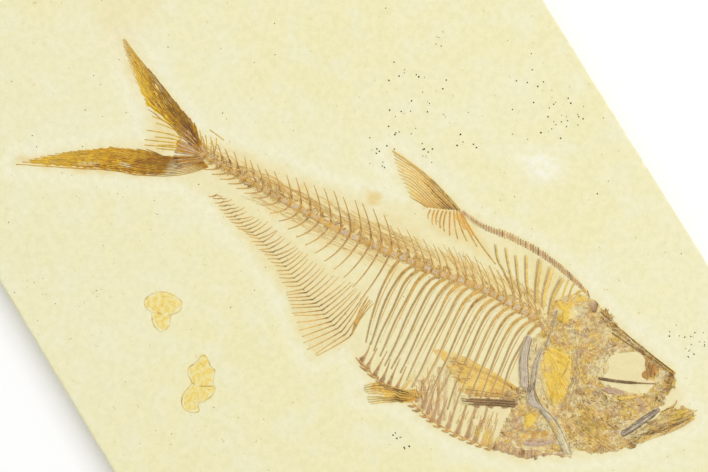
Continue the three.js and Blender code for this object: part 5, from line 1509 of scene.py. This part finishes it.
front_blade = film(
    [(105, -1.2), (104.6, -8), (105.4, -14), (107.6, -18.4), (108.8, -21), (107.8, -24), (109.6, -27.8),
     (113, -28.8), (118.6, -28.2), (118.4, -26.6), (113.6, -24.4), (110.6, -20.4), (108.8, -14),
     (107.6, -8), (106.2, -1.2)], 1.2, 206, step=PITCH, bevel=1.0, ragged=0.15, rounded=False,
    core=patchy(207, 0.7, 1.2, 3), rim=0.4)
front_ridges = strands(
    between([(105.4, -2), (105.4, -9), (107.4, -17), (109.4, -22), (112, -27)],
            [(105.6, -2), (106.2, -9), (108.2, -16), (110.2, -21.6), (114.4, -26.4)],
            [(105.9, -2), (107, -8.6), (109.2, -16), (111.2, -21), (117, -26)], 4, 40), 0.45, 0.25, 208,
    core=0.6, dark=each(0.3, -0.1, 0.6, -0.1), cover=1.2, over=1.1)
lower_band = film(
    [(117, -26.2), (124, -28.8), (131, -33.4), (139, -40.6), (136, -42), (128.6, -35.8), (122, -31.2),
     (116.6, -28.6)], 0.7, 209, step=PITCH, ragged=0.2, rounded=False, core=patchy(218, 0.3, 1, 4),
    dark=patchy(219, 0, 0.12, 3))
lower_rods = strands(
    [curve([(117, -26.2), (124, -28.6), (131, -33.2), (138.8, -40.6)], 40),
     curve([(116.6, -28.4), (122, -31), (128.4, -35.4), (136, -41.8)], 40),
     curve([(117, -27.2), (123, -29.8), (130, -34.6), (137.4, -41.2)], 40)],
    each(0.8, 0.9, 0.5), 0.5, 210, core=0.5,
    dark=each(0.45, 0.6, 0.25) * (1 - 0.4 * along), cover=1.1, over=0.5)
bruises = scattered(
    [(105.4, -18), (109.4, -18), (112.6, -26), (107.4, -26)], 30, (0.8, 3), 1.5, 237, 1.1,
    dark=(0.1, 1.0), width=(0.3, 0.6), turn=0.3)
make_piece("cleithrum_front", "grey_bone", grey_bone,
           [front_blade, front_ridges, lower_band, lower_rods, bruises], "cleithrum_front")

# ---- The mineral: two thin crusts and a sprinkle of black grains on the stone ----
# The crusts are yellow, soft-edged and hardly raised. The grains are a black iron or manganese ore that
# grew in the stone, in loose swarms, each half a millimetre across or less.
mineral = finish_bone(
    "mineral_crust", linear(242, 228, 154), linear(240, 214, 116), linear(200, 164, 82), mottle=380,
    gloss=0.75)


def crust(outline, folds, seed):
    """A pale film inside an outline, with a thin darker ridge round it and one along each of its folds."""
    sheet = film(outline, 0.12, seed, bevel=1.4, ragged=0.3, core=patchy(seed + 1, 0, 1, 3),
                 dark=patchy(seed + 2, -0.2, 0.3, 2.5), cover=patchy(seed + 3, 0.55, 1.1, 3))
    edge = curve(outline, 60, closed=True)
    ridges = [np.vstack([edge, edge[:1]])] + [curve(points, 24) for points in folds]
    lines = [strands([points], 0.8, 0.12, seed + 4, core=0.8, over=0.1,
                     dark=0.5 + 0.3 * waves(*points.T, 6, seed + 5),
                     cover=0.65 + 0.3 * waves(*points.T, 5, seed + 6)) for points in ridges]
    return [sheet, *lines]


left_crust = crust(
    [(-69.2, -59.4), (-67.3, -55.3), (-64, -52.8), (-59.5, -51.7), (-54.7, -52.3), (-53.1, -53.8),
     (-52.5, -57), (-55.4, -60.2), (-54.6, -63.4), (-54.2, -65.7), (-55.8, -69), (-59, -68.9),
     (-61.9, -66.8), (-63.9, -63.2), (-67.2, -62.3)],
    [[(-67.2, -62.3), (-64.1, -62.7), (-60.2, -62.2), (-56.4, -61), (-53.6, -58.7), (-52.6, -56.9)]],
    240)
make_piece("mineral_patch_left", "mineral", mineral, left_crust, "mineral_patch_left")
right_crust = crust(
    [(-34.5, -71.1), (-31.8, -71.4), (-29.4, -73.8), (-26.1, -75.4), (-24.7, -80.5), (-22.2, -83.1),
     (-22.8, -86.6), (-24.6, -89.6), (-26.6, -92.8), (-24.9, -95.2), (-28.5, -97.2), (-32.8, -96.3),
     (-34.8, -92.2), (-33.9, -87.3), (-33.6, -84.6), (-36.3, -82.1), (-37.6, -79), (-35.6, -75.4)],
    [[(-33.5, -84.6), (-31, -84.8), (-28.4, -84.1), (-25.6, -82.8), (-23.4, -81.7)],
     [(-28.1, -93.5), (-27.3, -90.6), (-28.4, -88.6), (-29.8, -86.7)]], 250)
make_piece("mineral_patch_right", "mineral", mineral, right_crust, "mineral_patch_right")


GRAIN_SIDES = 8
END_MARGIN, SIDE_MARGIN = 2, 5  # mm, left free of grains along the slab's ends and sides


def grains(swarms, seed):
    """Flat-topped pebbles of eight sides round random places in swarms of (x, y, spread, count, size)."""
    draw = np.random.default_rng(seed)
    centres = np.concatenate([draw.normal((x, y), spread, (count, 2)) for x, y, spread, count, _ in swarms])
    sizes = np.concatenate([np.full(count, size) for _, _, _, count, size in swarms])
    place = on_slab(centres[:, 0], centres[:, 1], 0)
    kept = np.abs(place[:, 0] - SLAB_MIDDLE.x) < SLAB_HIGH.x - END_MARGIN * MM
    kept &= np.abs(place[:, 1] - SLAB_MIDDLE.y) < SLAB_HIGH.y - SIDE_MARGIN * MM
    centres = centres[kept]
    sizes = sizes[kept] * draw.uniform(0.5, 1.0, kept.sum())
    turn = np.linspace(0, 2 * math.pi, GRAIN_SIDES, endpoint=False)
    wobble = draw.uniform(0.85, 1.3, (len(centres), GRAIN_SIDES)) * sizes[:, None] / 2
    circle = np.stack([np.cos(turn), np.sin(turn)], -1)
    outer = centres[:, None] + circle * wobble[..., None]
    inner = centres[:, None] + circle * wobble[..., None] * 0.55
    flat = np.concatenate([outer, inner, centres[:, None], centres[:, None]], 1)
    k = np.arange(GRAIN_SIDES)
    lift = np.concatenate([0 * k - 0.1, 0 * k + 0.16, [0.2], [-0.3]])
    after = (k + 1) % GRAIN_SIDES
    top, keel = 0 * k + 2 * GRAIN_SIDES, 0 * k + 2 * GRAIN_SIDES + 1
    base = (np.arange(len(centres)) * len(lift))[:, None, None]
    quads = base + np.stack([k, after, after + GRAIN_SIDES, k + GRAIN_SIDES], -1)
    tris = np.concatenate([base + np.stack([k + GRAIN_SIDES, after + GRAIN_SIDES, top], -1),
                           base + np.stack([after, k, keel], -1)])
    flat = flat.reshape(-1, 2)
    return {
        "place": on_slab(flat[:, 0], flat[:, 1], np.tile(lift, len(centres))), "flat": flat, "grain": flat,
        "quads": quads.reshape(-1, 4), "tris": tris.reshape(-1, 3), "cover": 1.3, "core": 1.0, "dark": 0.9,
    }


black_grain = finish_bone(
    "black_grain", linear(96, 84, 60), linear(70, 62, 48), linear(44, 40, 34), gloss=0.6)
SWARMS = [
    (68, 97, 5, 20, 0.95), (48, 105, 5, 7, 1.0), (-4, 83, 5, 8, 1.0), (10, 79, 5, 8, 0.9),
    (2, 64, 4, 10, 0.95), (19, 56, 3, 7, 0.95), (34, 70, 3, 5, 1.1), (3, 46, 4, 9, 1.0),
    (166, 29, 5, 19, 0.95), (62, -66, 4, 7, 1.0), (60, 80, 14, 7, 0.8), (0, 108, 10, 5, 0.8),
    (60, 80, 60, 24, 0.55), (-60, -60, 55, 36, 0.55), (-120, 30, 40, 28, 0.6), (-120, -70, 14, 10, 0.6),
]
make_piece("black_grains", "mineral", black_grain, [grains(SWARMS, 220)])

# ---- The floor, the light and the camera ----
# The slab lies on a plain pale floor, under one broad soft light from the side that the fish's back
# faces and an even white sky. The camera looks straight down.
FLOOR_HALF = 3.0
FLOOR_GAP = 0.2 * MM  # so that the floor and the slab's underside don't share a plane
floor_z = SLAB_LOW.z - FLOOR_GAP
floor_mesh = bpy.data.meshes.new("floor")
floor_corners = [
    (-FLOOR_HALF, -FLOOR_HALF, floor_z), (FLOOR_HALF, -FLOOR_HALF, floor_z),
    (FLOOR_HALF, FLOOR_HALF, floor_z), (-FLOOR_HALF, FLOOR_HALF, floor_z)]
floor_mesh.from_pydata(floor_corners, [], [(0, 1, 2, 3)])
floor = bpy.data.objects.new("floor", floor_mesh)
bpy.context.scene.collection.objects.link(floor)
floor_paint = bpy.data.materials.new("floor")
floor_paint.use_nodes = True
floor_shader = floor_paint.node_tree.nodes["Principled BSDF"]
floor_shader.inputs["Base Color"].default_value = (0.97, 0.97, 0.965, 1)
floor_shader.inputs["Roughness"].default_value = 0.9
floor_mesh.materials.append(floor_paint)

scene = bpy.context.scene
SKY_STRENGTH = 0.70
world = bpy.data.worlds.new("sky")
world.use_nodes = True
world.node_tree.nodes["Background"].inputs["Color"].default_value = (1, 1, 1, 1)
world.node_tree.nodes["Background"].inputs["Strength"].default_value = SKY_STRENGTH
scene.world = world
CAMERA_TURN = math.radians(58.57)  # from +X to the view's right, about +Z
right = np.array([math.cos(CAMERA_TURN), math.sin(CAMERA_TURN)])
upward = np.array([-math.sin(CAMERA_TURN), math.cos(CAMERA_TURN)])
LAMP_SIZE = 2.2
LAMP_WATTS = 41
LAMP_RIGHT, LAMP_UPWARD, LAMP_HEIGHT = 1.2, 0.9, 2.5  # metres, along the view's axes and up
lamp = bpy.data.lights.new("soft_box", "AREA")
lamp.shape = "RECTANGLE"
lamp.size, lamp.size_y = LAMP_SIZE, LAMP_SIZE
lamp.energy = LAMP_WATTS
lamp_holder = bpy.data.objects.new("soft_box", lamp)
lamp_holder.location = (*(LAMP_RIGHT * right + LAMP_UPWARD * upward), LAMP_HEIGHT)
lamp_holder.rotation_euler = (-lamp_holder.location).to_track_quat("-Z", "Y").to_euler()
scene.collection.objects.link(lamp_holder)

LENS = 100
SENSOR_WIDTH = 36
VIEW_WIDTH = 325.7 * MM  # of the slab's face, from side to side of the view
VIEW_MIDDLE = (0.1 * MM, 9.7 * MM)
camera = bpy.data.objects.new("camera", bpy.data.cameras.new("camera"))
camera.data.lens = LENS
camera.data.sensor_width = SENSOR_WIDTH
camera.location = (*VIEW_MIDDLE, SLAB_HIGH.z + VIEW_WIDTH * LENS / SENSOR_WIDTH)
camera.rotation_euler = (0, 0, CAMERA_TURN)
camera.data.clip_start = 0.05
scene.collection.objects.link(camera)
scene.camera = camera
scene.view_settings.view_transform = "Standard"
